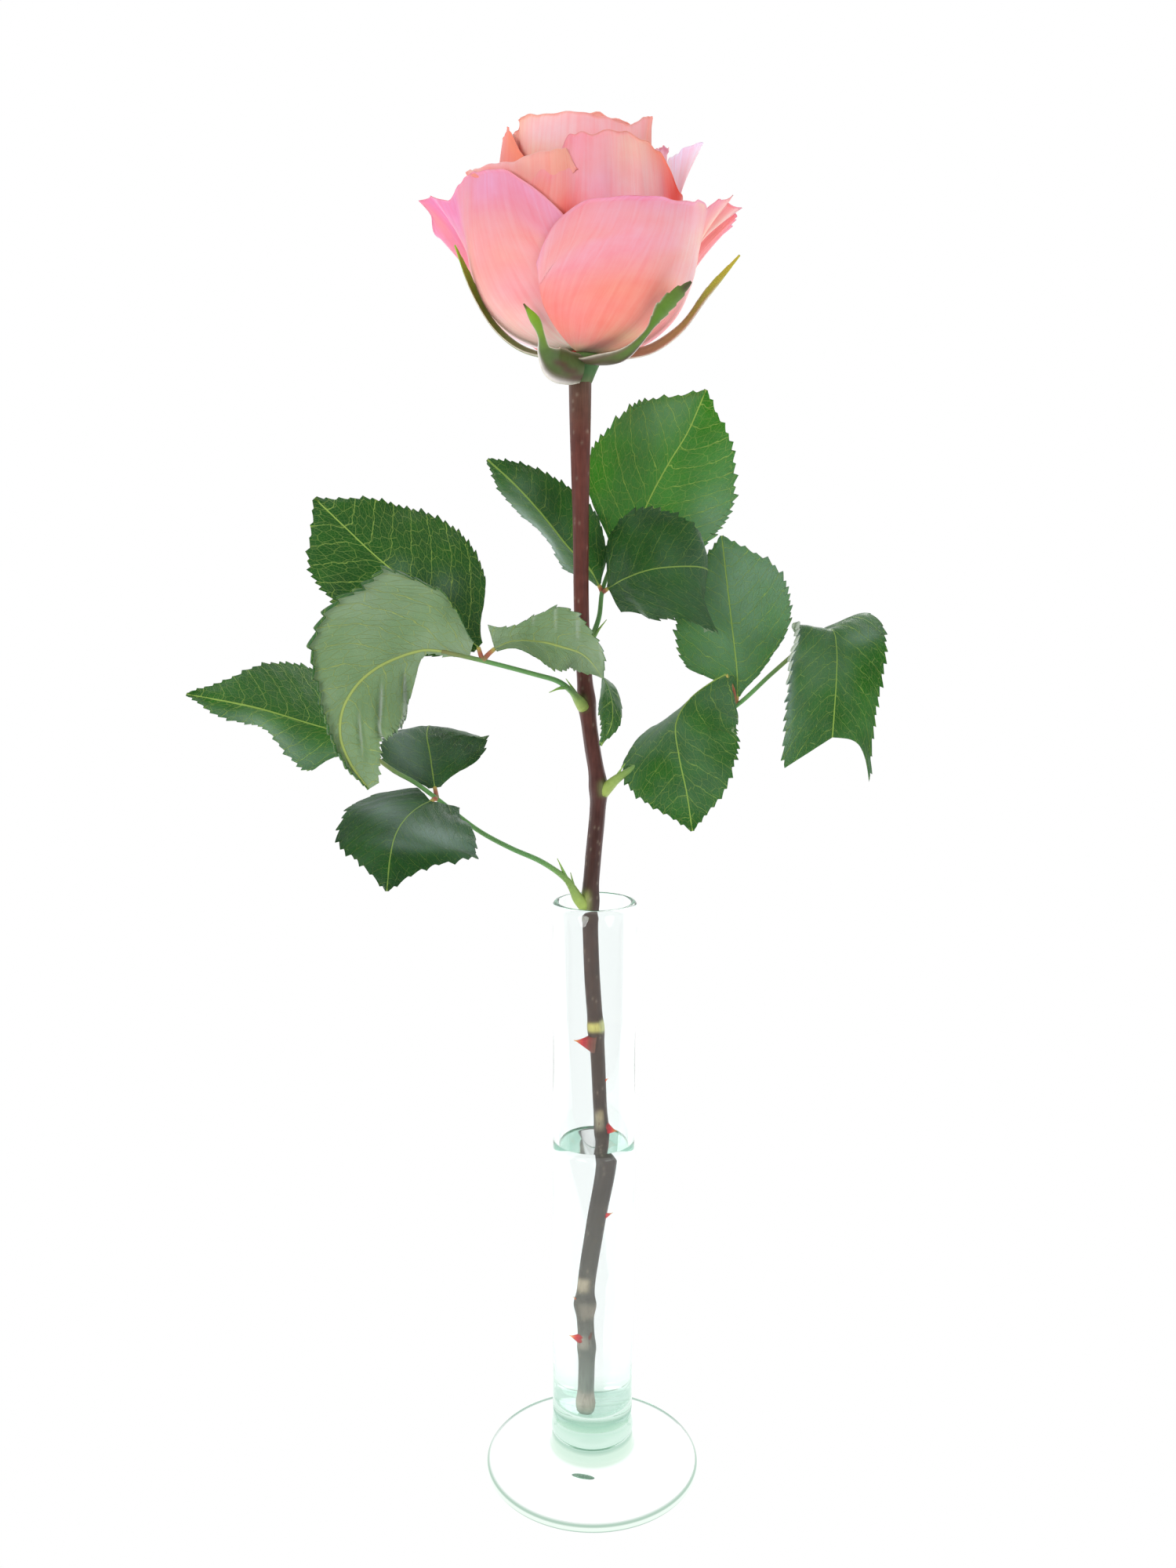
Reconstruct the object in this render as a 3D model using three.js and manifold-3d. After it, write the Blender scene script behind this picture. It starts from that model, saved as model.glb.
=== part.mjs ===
// A single pink rose, cut with a long stem, standing in water in a clear glass bud vase.
// Millimetres, +Z up. The origin is the middle of the foot's flat underside, on the vase's axis.
// -Y is the front: the side from which the bloom's two overlapping outer petals are seen.
import * as THREE from 'three';
import { mergeVertices } from 'three/addons/utils/BufferGeometryUtils.js';
import Module from 'manifold-3d';

const wasm = await Module();
wasm.setup();

// ---------------------------------------------------------------- driving dimensions

const gap = 0.3; // clearance between pieces that touch on the real thing
const bladeThickness = 0.65; // leaflets, sepals and petals

const vaseHeight = 200;
const tubeRadius = 13.55;
const wallThickness = 2.05;
const footRadius = 36;
const footEdge = 3.5; // thickness of the foot's rim
const bossRadius = 14.2; // the tube's solid base, where it joins the foot
const bossFrom = 10.5;
const bossTo = 17;
const boreFloor = 23; // inner bottom of the tube
const waterLevel = 118.5;
const boreRadius = tubeRadius - wallThickness;
const vaseSegments = 32;

const stemSides = 10;
const stemBottom = boreFloor + gap;
const stemTop = 362.6;

const bloomCentre = [-5.3, 6]; // the bloom stands a little off the vase's axis
const bloomBase = 371.5;
const bellyRadius = 35.1; // the widest of the closed part of the bloom

// ---------------------------------------------------------------- small helpers

const vector = (p) => new THREE.Vector3(p[0], p[1], p[2]);
const mix = (a, b, t) => a + (b - a) * t;
const radians = THREE.MathUtils.degToRad;

// 0 below `from`, 1 above `to`, and a smooth rise between.
function rise(x, from, to) {
  const t = Math.min(Math.max((x - from) / (to - from), 0), 1);
  return t * t * (3 - 2 * t);
}

// A value that passes smoothly through evenly spread stations, by a Catmull-Rom spline.
function along(stations, t) {
  const last = stations.length - 1;
  const x = Math.min(Math.max(t, 0), 1) * last;
  const i = Math.min(Math.floor(x), last - 1);
  const f = x - i;
  const [a, b, c, d] = [-1, 0, 1, 2].map((step) => stations[Math.min(Math.max(i + step, 0), last)]);
  return b + 0.5 * f * (c - a + f * (2 * a - 5 * b + 4 * c - d + f * (3 * (b - c) + d - a)));
}

// A closed mesh from rings of points, each ring joined to the next, with both ends capped.
function ringSolid(rings) {
  const sides = rings[0].length;
  const points = rings.flat();
  const triangles = [];
  for (let i = 0; i + 1 < rings.length; i += 1) {
    for (let j = 0; j < sides; j += 1) {
      const a = i * sides + j;
      const b = i * sides + ((j + 1) % sides);
      triangles.push(a, b, b + sides, a, b + sides, a + sides);
    }
  }
  const top = (rings.length - 1) * sides;
  for (let j = 1; j + 1 < sides; j += 1) {
    triangles.push(0, j + 1, j, top, top + j, top + j + 1);
  }
  return solid(points, triangles);
}

// A thin closed blade from a grid of points: the same grid, half a thickness to each side of it,
// split into triangles alike on both faces, and walls round the edge.
function bladeSolid(grid, thickness = bladeThickness) {
  const rows = grid.length;
  const columns = grid[0].length;
  const at = (i, j) => grid[Math.min(Math.max(i, 0), rows - 1)][Math.min(Math.max(j, 0), columns - 1)];
  const upper = [];
  const lower = [];
  for (let i = 0; i < rows; i += 1) {
    for (let j = 0; j < columns; j += 1) {
      const down = at(i + 1, j).clone().sub(at(i - 1, j));
      const across = at(i, j + 1).clone().sub(at(i, j - 1));
      const offset = across.cross(down).normalize().multiplyScalar(thickness / 2);
      upper.push(grid[i][j].clone().add(offset));
      lower.push(grid[i][j].clone().sub(offset));
    }
  }
  const triangles = [];
  const base = rows * columns;
  for (let i = 0; i + 1 < rows; i += 1) {
    for (let j = 0; j + 1 < columns; j += 1) {
      const a = i * columns + j;
      const c = a + columns;
      triangles.push(a, a + 1, c + 1, a, c + 1, c);
      triangles.push(base + a, base + c + 1, base + a + 1, base + a, base + c, base + c + 1);
    }
  }
  const wall = (a, b) => triangles.push(a, base + b, b, a, base + a, base + b);
  for (let j = 0; j + 1 < columns; j += 1) {
    wall(j, j + 1);
    wall((rows - 1) * columns + j + 1, (rows - 1) * columns + j);
  }
  for (let i = 0; i + 1 < rows; i += 1) {
    wall((i + 1) * columns, i * columns);
    wall(i * columns + columns - 1, (i + 1) * columns + columns - 1);
  }
  return solid([...upper, ...lower], triangles);
}

// A manifold solid from points and triangles, turned outward if its volume comes out negative.
function solid(points, triangles) {
  const vertProperties = new Float32Array(points.flatMap((p) => [p.x, p.y, p.z]));
  const build = (triVerts) => new wasm.Manifold(new wasm.Mesh({ numProp: 3, vertProperties, triVerts }));
  const made = build(new Uint32Array(triangles));
  if (made.volume() > 0) return made;
  const turned = [];
  for (let i = 0; i < triangles.length; i += 3) {
    turned.push(triangles[i], triangles[i + 2], triangles[i + 1]);
  }
  return build(new Uint32Array(turned));
}

function solidOfGeometry(geometry) {
  const bare = geometry.clone();
  bare.deleteAttribute('normal');
  bare.deleteAttribute('uv');
  const merged = mergeVertices(bare, 1e-4);
  const points = [];
  const position = merged.getAttribute('position');
  for (let i = 0; i < position.count; i += 1) points.push(new THREE.Vector3().fromBufferAttribute(position, i));
  return solid(points, Array.from(merged.index.array));
}

function geometryOf(body) {
  const mesh = body.getMesh();
  const geometry = new THREE.BufferGeometry();
  geometry.setAttribute('position', new THREE.BufferAttribute(mesh.vertProperties, 3));
  geometry.setIndex(new THREE.BufferAttribute(mesh.triVerts, 1));
  geometry.computeVertexNormals();
  return geometry;
}

const joined = (bodies) => bodies.reduce((all, body) => all.add(body));

// A tube of changing thickness along a smooth curve: radii are spread evenly from start to end.
function tube(points, radii, sides, steps) {
  const curve = new THREE.CatmullRomCurve3(points.map(vector));
  const rings = [];
  const side = new THREE.Vector3(0.3, 1, 0.2);
  for (let i = 0; i <= steps; i += 1) {
    const t = i / steps;
    const centre = curve.getPointAt(t);
    const tangent = curve.getTangentAt(t);
    side.addScaledVector(tangent, -side.dot(tangent)).normalize();
    const other = tangent.clone().cross(side);
    const radius = along(radii, t);
    const ring = [];
    for (let j = 0; j < sides; j += 1) {
      const angle = (j / sides) * 2 * Math.PI;
      ring.push(centre.clone()
        .addScaledVector(side, Math.cos(angle) * radius)
        .addScaledVector(other, Math.sin(angle) * radius));
    }
    rings.push(ring);
  }
  return ringSolid(rings);
}

// A hollow-sided cone that narrows to a blunt point, larger all round by `extra`.
function spike(from, to, radius, sides = 6, extra = 0) {
  const middle = from.map((value, i) => mix(value, to[i], 0.5));
  return tube([from, middle, to], [radius, radius * 0.42, 0.14].map((r) => r + extra), sides, 3);
}

// ---------------------------------------------------------------- vase and water

// Flat pressed foot, shallow cone, solid boss with a groove, straight tube, fire-polished lip.
function vaseProfile() {
  const lip = 2.4;
  const outside = [
    [0, 0], [footRadius - 1.4, 0], [footRadius, 0.9], [footRadius, footEdge - 0.9],
    [footRadius - 1.4, footEdge], [24, 4.8], [17.5, 7.2], [bossRadius + 0.2, bossFrom - 0.4],
    [bossRadius, bossFrom + 1.3], [bossRadius, bossTo - 1], [tubeRadius - 0.1, bossTo],
    [tubeRadius, bossTo + 1.6], [tubeRadius, vaseHeight - lip],
    [tubeRadius + 0.4, vaseHeight - lip * 0.75], [tubeRadius + 0.35, vaseHeight - 0.7],
    [tubeRadius - 0.4, vaseHeight],
  ];
  const inside = [
    [boreRadius + 0.3, vaseHeight - 0.1], [boreRadius - 0.25, vaseHeight - 1],
    [boreRadius - 0.2, vaseHeight - lip * 0.8], [boreRadius, vaseHeight - lip * 1.6],
    [boreRadius, boreFloor + 3], [boreRadius - 1.1, boreFloor + 0.8], [boreRadius - 3.2, boreFloor],
    [0, boreFloor],
  ];
  return [...outside, ...inside].map(([r, z]) => new THREE.Vector2(r, z));
}

// three.js turns a profile about Y; the solid stands up along Z.
function turned(profile) {
  const geometry = new THREE.LatheGeometry(profile, vaseSegments);
  geometry.rotateX(Math.PI / 2);
  return solidOfGeometry(geometry);
}

function waterSolid() {
  const radius = boreRadius - gap;
  const profile = [
    [0, boreFloor + gap], [radius - 3, boreFloor + gap], [radius - 1, boreFloor + gap + 0.9],
    [radius, boreFloor + gap + 3], [radius, waterLevel], [0, waterLevel],
  ].map(([r, z]) => new THREE.Vector2(r, z));
  return turned(profile).subtract(stemSolid(gap + 0.1));
}

// ---------------------------------------------------------------- stem

// The stem's centre line from the cut end, resting at the front of the bore's floor, past the back
// of the lip, to the neck under the bloom; and its radius along the way, thicker at each node.
const stemLine = [
  [-2, -4.9, stemBottom], [-1.6, -2.9, 45], [-1.9, -1.5, 65], [0.6, 1, 90], [2.9, 3.2, 112],
  [2, 5, 131], [1.1, 6, 148], [-0.9, 7.4, 174], [-1.5, 7.8, 198], [-0.6, 8.1, 212],
  [0.8, 8, 228], [1, 7.8, 236], [-1.2, 7.2, 250], [-3, 6.8, 264], [-4.6, 6.4, 288],
  [-5, 6.1, 320], [-5.2, 6, 345], [-5.3, 6, stemTop],
];
const stemNodes = [
  { z: 27, swell: 0.55, reach: 3 }, { z: 47, swell: 0.35, reach: 3 }, { z: 62, swell: 0.75, reach: 3.2 },
  { z: 120, swell: 0.35, reach: 4 }, { z: 155, swell: 0.45, reach: 3 }, { z: 198, swell: 0.5, reach: 4 },
  { z: 236, swell: 0.6, reach: 4 }, { z: 264, swell: 0.55, reach: 4 }, { z: 281, swell: 0.25, reach: 4 },
];
// Prickles and the stubs left by trimmed side shoots: foot and tip, and the radius of the foot.
const thorns = [
  { from: [-0.4, 6.2, 149.5], to: [-6.6, 4.6, 149.6], radius: 1.9 },
  { from: [3.3, 4.4, 115.6], to: [6.6, 2.2, 114.4], radius: 1.7 },
  { from: [-2.2, -2.9, 46.5], to: [-5.9, -4, 47.4], radius: 1.5 },
  { from: [-2.2, -1.6, 62.5], to: [-5, -2.6, 64.6], radius: 1.4 },
  { from: [1.9, 5.4, 136.5], to: [4.9, 4.6, 138], radius: 1.2 },
  { from: [1.7, 1.2, 93], to: [4.7, 0.4, 93.8], radius: 1.3 },
];

function stemRadius(z) {
  const slim = along([2.5, 2.55, 2.6, 2.65, 2.6, 2.5, 2.45, 3.5], (z - stemBottom) / (stemTop - stemBottom));
  const bumps = stemNodes.map((node) => node.swell * Math.exp(-(((z - node.z) / node.reach) ** 2)));
  return slim + bumps.reduce((sum, bump) => sum + bump, 0);
}

// The stem, larger all round by `extra`, which makes the hole that it stands in.
function stemSolid(extra = 0) {
  const steps = 44;
  const curve = new THREE.CatmullRomCurve3(stemLine.map(vector));
  const rings = [];
  for (let i = 0; i <= steps; i += 1) {
    const centre = curve.getPointAt(i / steps);
    const radius = stemRadius(centre.z) + extra;
    const end = i === 0 ? -extra : 0;
    const ring = [];
    for (let j = 0; j < stemSides; j += 1) {
      const angle = (j / stemSides) * 2 * Math.PI;
      ring.push(new THREE.Vector3(
        centre.x + Math.cos(angle) * radius, centre.y + Math.sin(angle) * radius, centre.z + end,
      ));
    }
    rings.push(ring);
  }
  const spikes = thorns.map(({ from, to, radius }) => {
    const start = vector(from);
    const tip = vector(to);
    tip.addScaledVector(tip.clone().sub(start).normalize(), extra);
    return spike(from, tip.toArray(), radius, 6, extra);
  });
  return joined([ringSolid(rings), ...spikes]);
}

// ---------------------------------------------------------------- leaflets and sepals

// One half of a blade, cut across at a distance from the midrib: it leaves the midrib at the angle
// `fold` below the face's plane and bends on by `curl` over the full half width.
function halfSection(distance, full, fold, curl) {
  const bend = curl / full;
  const turn = fold + bend * distance;
  if (Math.abs(bend) < 1e-4) return [Math.cos(fold) * distance, Math.sin(fold) * distance];
  return [(Math.sin(turn) - Math.sin(fold)) / bend, (Math.cos(fold) - Math.cos(turn)) / bend];
}

// A blade on a midrib. `rib` runs from base to tip; `face` holds directions that the upper side
// looks to, from base to tip. `left` and `right` (tip up, upper side to the viewer) hold each half:
// its widths from base to tip, and the fold and curl in degrees. `sweep` moves the margin on along
// the midrib, and `teeth` saws it, as a share of the width.
function leafBlade({ rib, face, left, right, sweep = [0, 0], teeth = 0.1, rows = 20, cells = 2 }) {
  const curve = new THREE.CatmullRomCurve3(rib.map(vector));
  const length = curve.getLength();
  const grid = [];
  for (let i = 0; i <= rows; i += 1) {
    const t = i / rows;
    const onTooth = i % 2 === 1 && i < rows;
    const centre = curve.getPointAt(t);
    const tangent = curve.getTangentAt(t);
    const normal = new THREE.Vector3(...[0, 1, 2].map((axis) => along(face.map((f) => f[axis]), t)));
    normal.addScaledVector(tangent, -normal.dot(tangent)).normalize();
    const side = tangent.clone().cross(normal);
    const row = [];
    for (const [half, sign] of [[left, -1], [right, 1]]) {
      const full = Math.max(...half.widths);
      const reach = Math.max(along(half.widths, t) * (onTooth ? 1 + teeth / 2 : 1 - teeth / 2), 0.45);
      const fold = radians(along(half.fold ?? [4, 4], t));
      const curl = radians(along(half.curl ?? [12, 18], t));
      const points = [];
      for (let k = 1; k <= cells; k += 1) {
        const [out, drop] = halfSection((reach * k) / cells, full, fold, curl);
        const lean = k === cells && onTooth ? length * 0.018 : 0;
        points.push(centre.clone().addScaledVector(side, sign * out).addScaledVector(normal, -drop)
          .addScaledVector(tangent, lean + (along(sweep, t) * k) / cells));
      }
      if (sign < 0) row.push(...points.reverse(), centre);
      else row.push(...points);
    }
    grid.push(row);
  }
  return bladeSolid(grid);
}

// A compound leaf: petiole and rachis as one thin tube, stipule points at its foot, leaflets.
function compoundLeaf({ stalk, stalkSteps, stipules, stalklets, leaflets }) {
  return joined([
    tube(stalk, [1.5, 1, 0.8, 0.75, 0.7, 0.65], 5, stalkSteps),
    ...stipules.map(({ from, to }) => spike(from, to, 0.9, 5)),
    ...stalklets.map((points) => tube(points, [0.75, 0.65, 0.6], 5, 2)),
    ...leaflets.map(leafBlade),
  ]);
}

// Leaf behind the stem, upper right: the largest leaflet of all stands behind two darker ones.
const leafUpper = {
  stalk: [[-2.2, 10.6, 281], [-1, 12, 285], [1, 16, 291], [2, 20, 299], [4, 22.5, 305], [6, 24, 310]],
  stalkSteps: 8,
  stipules: [{ from: [-1.4, 11.6, 283.5], to: [3.4, 13, 290] }],
  stalklets: [
    [[2, 20, 298.5], [1.6, 20, 299.5], [0.8, 19.7, 301]],
    [[2, 20, 298.5], [3, 19, 299.2], [4, 18, 300]],
  ],
  leaflets: [
    { // the terminal leaflet
      rib: [[6, 24, 310], [14, 27, 322], [19, 28.5, 332], [24, 28.5, 341], [29.5, 26.5, 350], [35, 22, 363]],
      face: [[0.2, -1, 0.15], [0.1, -1, 0.2], [0, -1, 0.3]],
      left: { widths: [1, 17.5, 24.5, 23, 17.5, 0.5] },
      right: { widths: [1, 20.5, 26.5, 25.5, 14.5, 0.5], curl: [14, 30] },
    },
    { // left, passing behind the stem
      rib: [[0.8, 19.7, 301], [-2, 18.4, 306], [-8.5, 16.6, 312.5], [-18, 15, 324], [-26, 13, 332.5], [-34.5, 10, 340]],
      face: [[0.2, -1, 0.1], [0.2, -1, 0.3]],
      left: { widths: [1, 8.5, 7, 8, 6.5, 0.5], fold: [40, 66, 62, 48], curl: [10, 10] },
      right: { widths: [1, 12.5, 15.5, 12.5, 8, 0.5] },
    },
    { // right, nearer, its end rolled back
      rib: [[4, 18, 300], [9, 13, 303], [17, 7.5, 306], [25, 4.5, 307], [31.5, 4, 307], [35, 7.5, 306], [34, 13.5, 304]],
      face: [[0, -1, 0.1], [0.1, -1, 0.1], [0.6, -1, 0], [1, 0.2, 0]],
      left: { widths: [1, 14, 18.5, 12.5, 5, 0.5], fold: [0, 5] },
      right: { widths: [9, 15.5, 18.5, 20, 15, 0.5], fold: [0, 5] },
    },
  ],
};

// Leaf on the left, reaching forward: its end leaflets hang over and show their undersides.
const leafLeft = {
  stalk: [[-5.2, 3.2, 264.4], [-8, -3, 268.5], [-12, -9, 272], [-19, -14, 274.5], [-34, -21, 279], [-46, -24, 282]],
  stalkSteps: 12,
  stipules: [{ from: [-9, -6, 270], to: [-14.5, -10, 268.5] }, { from: [-5.8, 1, 266], to: [-9.5, -0.5, 272] }],
  stalklets: [
    [[-34, -21, 279], [-34.6, -21, 280.5], [-35.4, -20.6, 283]],
    [[-34, -21, 279], [-32.5, -21, 280.8], [-30.5, -20.4, 282.6]],
  ],
  leaflets: [
    { // the terminal leaflet, hanging, its underside to the front
      rib: [[-38, -22.2, 280], [-46, -24, 282], [-51, -26, 282.4], [-58, -28, 280.5], [-65, -30, 277], [-70.5, -31, 272],
        [-74.5, -31, 265], [-75.5, -30, 257], [-73, -29, 249], [-68, -28.5, 241]],
      face: [[0.1, 1, 0.2], [0, 1, 0.1], [0, 1, 0], [-0.3, 1, 0]],
      left: { widths: [5, 14, 20, 24.5, 22.5, 16, 7, 3, 2, 2, 0.5], fold: [0, 0], curl: [16, 24] },
      right: { widths: [0.5, 1, 2, 10, 16, 18.5, 18.5, 16, 12, 9, 4], fold: [6, 10], curl: [10, 40] },
    },
    { // right, arching in front of the stem, its end folded down
      rib: [[-30.5, -20.4, 282.6], [-25, -18.6, 284.6], [-17, -16, 284.4], [-10, -14, 282.8], [-4, -12.5, 280.6],
        [1, -11, 275], [4.5, -10, 266.5], [4.6, -9.6, 259], [1.4, -9.4, 252]],
      face: [[-0.1, 1, 0.3], [0.2, 1, 0.3], [0.7, 0.5, 0.6], [1, -0.6, 0.2], [0.8, -1, 0]],
      left: { widths: [2, 6, 8, 9.5, 7.5, 0.5], fold: [80, 60, 16, 10, 10, 10], curl: [10, 10] },
      right: { widths: [8, 4.5, 9, 14, 13.5, 10, 9, 9, 8, 5, 0.5], fold: [0, 0], curl: [10, 10] },
    },
    { // left, rising behind, its bright upper side to the front
      rib: [[-35.4, -20.6, 283], [-42, -18, 288], [-51, -15.5, 296], [-60, -13.5, 304], [-69, -11.5, 311.6],
        [-76, -9.5, 318], [-86, -6, 327]],
      face: [[0.1, -1, 0.2], [0, -1, 0.4]],
      left: { widths: [2, 15, 21, 19, 16, 1] },
      right: { widths: [2, 17.5, 23.5, 21.5, 13.5, 1] },
    },
  ],
};

// Leaf on the right: one leaflet hangs in front, one stands, and the last drapes over its stalk.
const leafRight = {
  stalk: [[4.4, 5.9, 236.4], [7, 3.5, 239.6], [14, 5, 244], [28, 9, 253], [45, 11.5, 262], [57, 14, 272.5],
    [66, 15.6, 280.2], [70, 16, 283]],
  stalkSteps: 16,
  stipules: [{ from: [5.4, 4.6, 237.6], to: [9.5, 3, 244.6] }],
  stalklets: [
    [[45, 11.5, 262], [44.6, 11.4, 267], [42, 10.4, 272.6]],
    [[45, 11.5, 262], [45.6, 12, 263.4], [46, 12.4, 265.4]],
  ],
  leaflets: [
    { // left, folded over and hanging in front of the petiole
      rib: [[42, 10.4, 272.6], [37, 8.6, 270], [30, 4.6, 265], [25.6, 1.4, 257.6], [26.6, -0.4, 247], [29, -1.4, 236],
        [31, -2, 223.6]],
      face: [[-0.4, -0.5, 0.8], [-0.5, -0.8, 0.6], [0, -1, 0.1], [0, -1, 0]],
      left: { widths: [6, 19, 22.5, 20, 12.5, 0.5], fold: [50, 30, 6, 4], curl: [10, 10] },
      right: { widths: [3, 10, 16, 19.5, 13.5, 0.5], fold: [60, 40, 8, 4], curl: [40, 10] },
    },
    { // upper, standing
      rib: [[46, 12.4, 265.4], [46, 15, 273], [45, 17.8, 283], [43, 21, 300], [41, 24, 317]],
      face: [[0.1, -1, 0.1], [0, -1, 0.2]],
      left: { widths: [1, 15, 18.5, 16, 10, 0.5] },
      right: { widths: [1, 10.5, 19.5, 21, 16.5, 0.5] },
    },
    { // the terminal leaflet, draped over the end of its stalk
      rib: [[70, 16, 283], [73.5, 14.6, 286.4], [76, 11, 286.6], [77, 8.6, 281], [77, 7, 272], [76.5, 5.8, 262],
        [76, 5, 253]],
      face: [[-0.5, -0.2, 1], [0, -0.2, 1], [0, -1, 0.5], [0, -1, 0.1], [0, -1, 0.1]],
      left: { widths: [2, 14.5, 16.5, 14, 13.5, 14], fold: [10, -30, -12, 10], curl: [10, 40] },
      right: { widths: [2, 15, 16, 13.5, 14.5, 16], fold: [10, -20, -4, 4], curl: [10, 20] },
      sweep: [0, -2, 0, 4, 11],
    },
  ],
};

// Lowest leaf, from the vase's mouth to the left: one leaflet reaches far out, one comes forward.
const leafLower = {
  stalk: [[-5.2, 5.4, 198.8], [-7, 2.6, 203], [-9.4, 1, 207], [-17, -1, 213], [-27, -3, 218], [-37, -5, 224],
    [-50, -6.5, 234.5], [-57, -5.5, 239.5], [-64, -3.5, 243], [-74, -0.5, 250]],
  stalkSteps: 18,
  stipules: [{ from: [-9.2, 1.4, 206.6], to: [-12.2, 0, 214] }, { from: [-6.4, 3.4, 201.4], to: [-8, 6, 208] }],
  stalklets: [
    [[-50, -6.5, 234.5], [-50.6, -7.6, 234.6], [-51.6, -9.4, 234]],
    [[-50, -6.5, 234.5], [-50.4, -5, 235.8], [-51, -3, 237.5]],
  ],
  leaflets: [
    { // the terminal leaflet
      rib: [[-74, -0.5, 250], [-81, 0, 254], [-92, 1, 257.5], [-107, 1.4, 262], [-117, 2, 264], [-130.5, 4, 266]],
      face: [[0.2, -0.8, 0.7], [0, -0.8, 0.7]],
      left: { widths: [4, 13.5, 12, 7, 5, 0.5], fold: [0, 10, 50, 72, 36, 0], curl: [10, 10] },
      right: { widths: [2, 18, 22.5, 20, 10.5, 0.5], fold: [0, 0], curl: [14, 14] },
    },
    { // back, standing, its end bent over behind
      rib: [[-51, -3, 237.5], [-52, 0, 242], [-53, 3, 247], [-54.5, 7.5, 252.6], [-54.5, 13, 255], [-54, 21, 252.5],
        [-53, 28, 247]],
      face: [[0, -0.9, 0.7], [0, -0.9, 0.7], [0, 0, 1], [0, 0.4, 1]],
      left: { widths: [2, 13, 15.5, 13, 9, 0.5] },
      right: { widths: [2, 15, 19.5, 16, 9, 0.5] },
    },
    { // front, coming towards the viewer
      rib: [[-51.6, -9.4, 234], [-54.5, -13, 233], [-58, -19, 230.5], [-60.5, -25, 226.5], [-61.5, -30, 221],
        [-62, -35, 211.5]],
      face: [[0, -0.5, 1], [0, -0.7, 1], [0, -1, 0.6]],
      left: { widths: [8, 19, 24, 24.5, 10, 0.5], curl: [10, 0] },
      right: { widths: [11, 20, 21, 17.5, 8, 0.5] },
      sweep: [-5, -3.5, 0, 0, 0],
    },
  ],
};

// ---------------------------------------------------------------- hip and sepals

// The green hip: from the neck of the stem it swells to the cup that holds the petals.
function hipSolid() {
  const foot = stemTop + gap;
  const top = bloomBase - gap - 0.35;
  const profile = [
    [0, foot], [3.6, foot], [4.4, foot + 2.2], [5.8, foot + 4.8], [6.8, top - 1], [7.1, top - 0.3], [6.4, top],
    [0, top],
  ].map(([r, z]) => new THREE.Vector2(r, z));
  const geometry = new THREE.LatheGeometry(profile, 14);
  geometry.rotateX(Math.PI / 2);
  geometry.translate(bloomCentre[0], bloomCentre[1], 0);
  return solidOfGeometry(geometry);
}

const sepals = [
  { // left, hugging the bloom
    rib: [[-9, 4.4, 369], [-15, 3.4, 369.8], [-23.4, 2, 372], [-30.6, 1, 377.4], [-36.4, 0.2, 386], [-43, 0, 402]],
    face: [[0, 0, 1], [0.7, 0.2, 0.7], [1, 0.2, 0]],
    width: 2.6,
  },
  { // front left, hooded
    rib: [[-6.5, 2.6, 367.4], [-9, -2.6, 365], [-12.4, -8, 365.6], [-15.2, -13.4, 369], [-17.8, -18.4, 374],
      [-20.6, -22.4, 381]],
    face: [[0.2, 0.4, 1], [0.3, 0.6, 0.8], [0.4, 1, 0.5], [0.4, 1, 0.2]],
    width: 6,
  },
  { // front right, sweeping up across the bloom
    rib: [[-3.4, 2, 368.2], [1, -5, 367.6], [8, -12, 369.6], [14, -16, 375], [19.6, -18, 382.6], [27.6, -17, 391]],
    face: [[-0.2, 0.4, 1], [-0.4, 1, 0.8], [-0.4, 1, 0.3]],
    width: 4.2,
  },
  { // right, standing away from the bloom
    rib: [[-1, 5.4, 369.2], [8, 3, 370], [17, 1, 372], [25.4, 0.4, 378], [33, 0, 388], [42.5, 0, 399.5]],
    face: [[0, 0, 1], [-0.7, 0.1, 0.7], [-1, 0.1, 0.2]],
    width: 2.5,
  },
  { // back
    rib: [[-6, 10, 368.6], [-9, 20, 368.8], [-11, 32, 372.4], [-12.4, 40.5, 381], [-13, 44.5, 393]],
    face: [[0, 0, 1], [0, -0.8, 0.7], [0, -1, 0.1]],
    width: 4,
  },
];

// Broad near the hip, then drawn out to a long narrow end.
const sepalHalf = (width) => ({
  widths: [0.6, 1, 0.95, 0.5, 0.3, 0.1].map((share) => share * width), fold: [0, 0], curl: [0, 0],
});

function calyxSolid() {
  const blades = sepals.map(({ rib, face, width }) => leafBlade({
    rib, face, left: sepalHalf(width), right: sepalHalf(width), teeth: 0, rows: 11, cells: 1,
  }));
  return joined([hipSolid(), ...blades]);
}

// ---------------------------------------------------------------- bloom

// The outer shape of the closed bloom, from its base outward and up: radius and height.
const cup = new THREE.CatmullRomCurve3([
  [3, 0], [12.5, 0.9], [21.8, 4.4], [29, 11], [33.4, 20.5], [35.1, 30], [35.1, 38], [34, 46], [31.9, 54],
  [29.1, 61], [26, 68],
].map(([r, h]) => new THREE.Vector3(r, 0, h)));
const cupStations = 120;
const cupPoints = cup.getSpacedPoints(cupStations);
const nestRise = 33; // the innermost petals start this much higher than the outermost

// Where the cup reaches a height: its position along the curve, from 0 to 1.
function cupPosition(height) {
  const index = cupPoints.findIndex((point) => point.z >= height);
  if (index < 0) return 1;
  if (index === 0) return 0;
  const [low, high] = [cupPoints[index - 1], cupPoints[index]];
  return (index - 1 + (height - low.z) / (high.z - low.z)) / cupStations;
}

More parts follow.
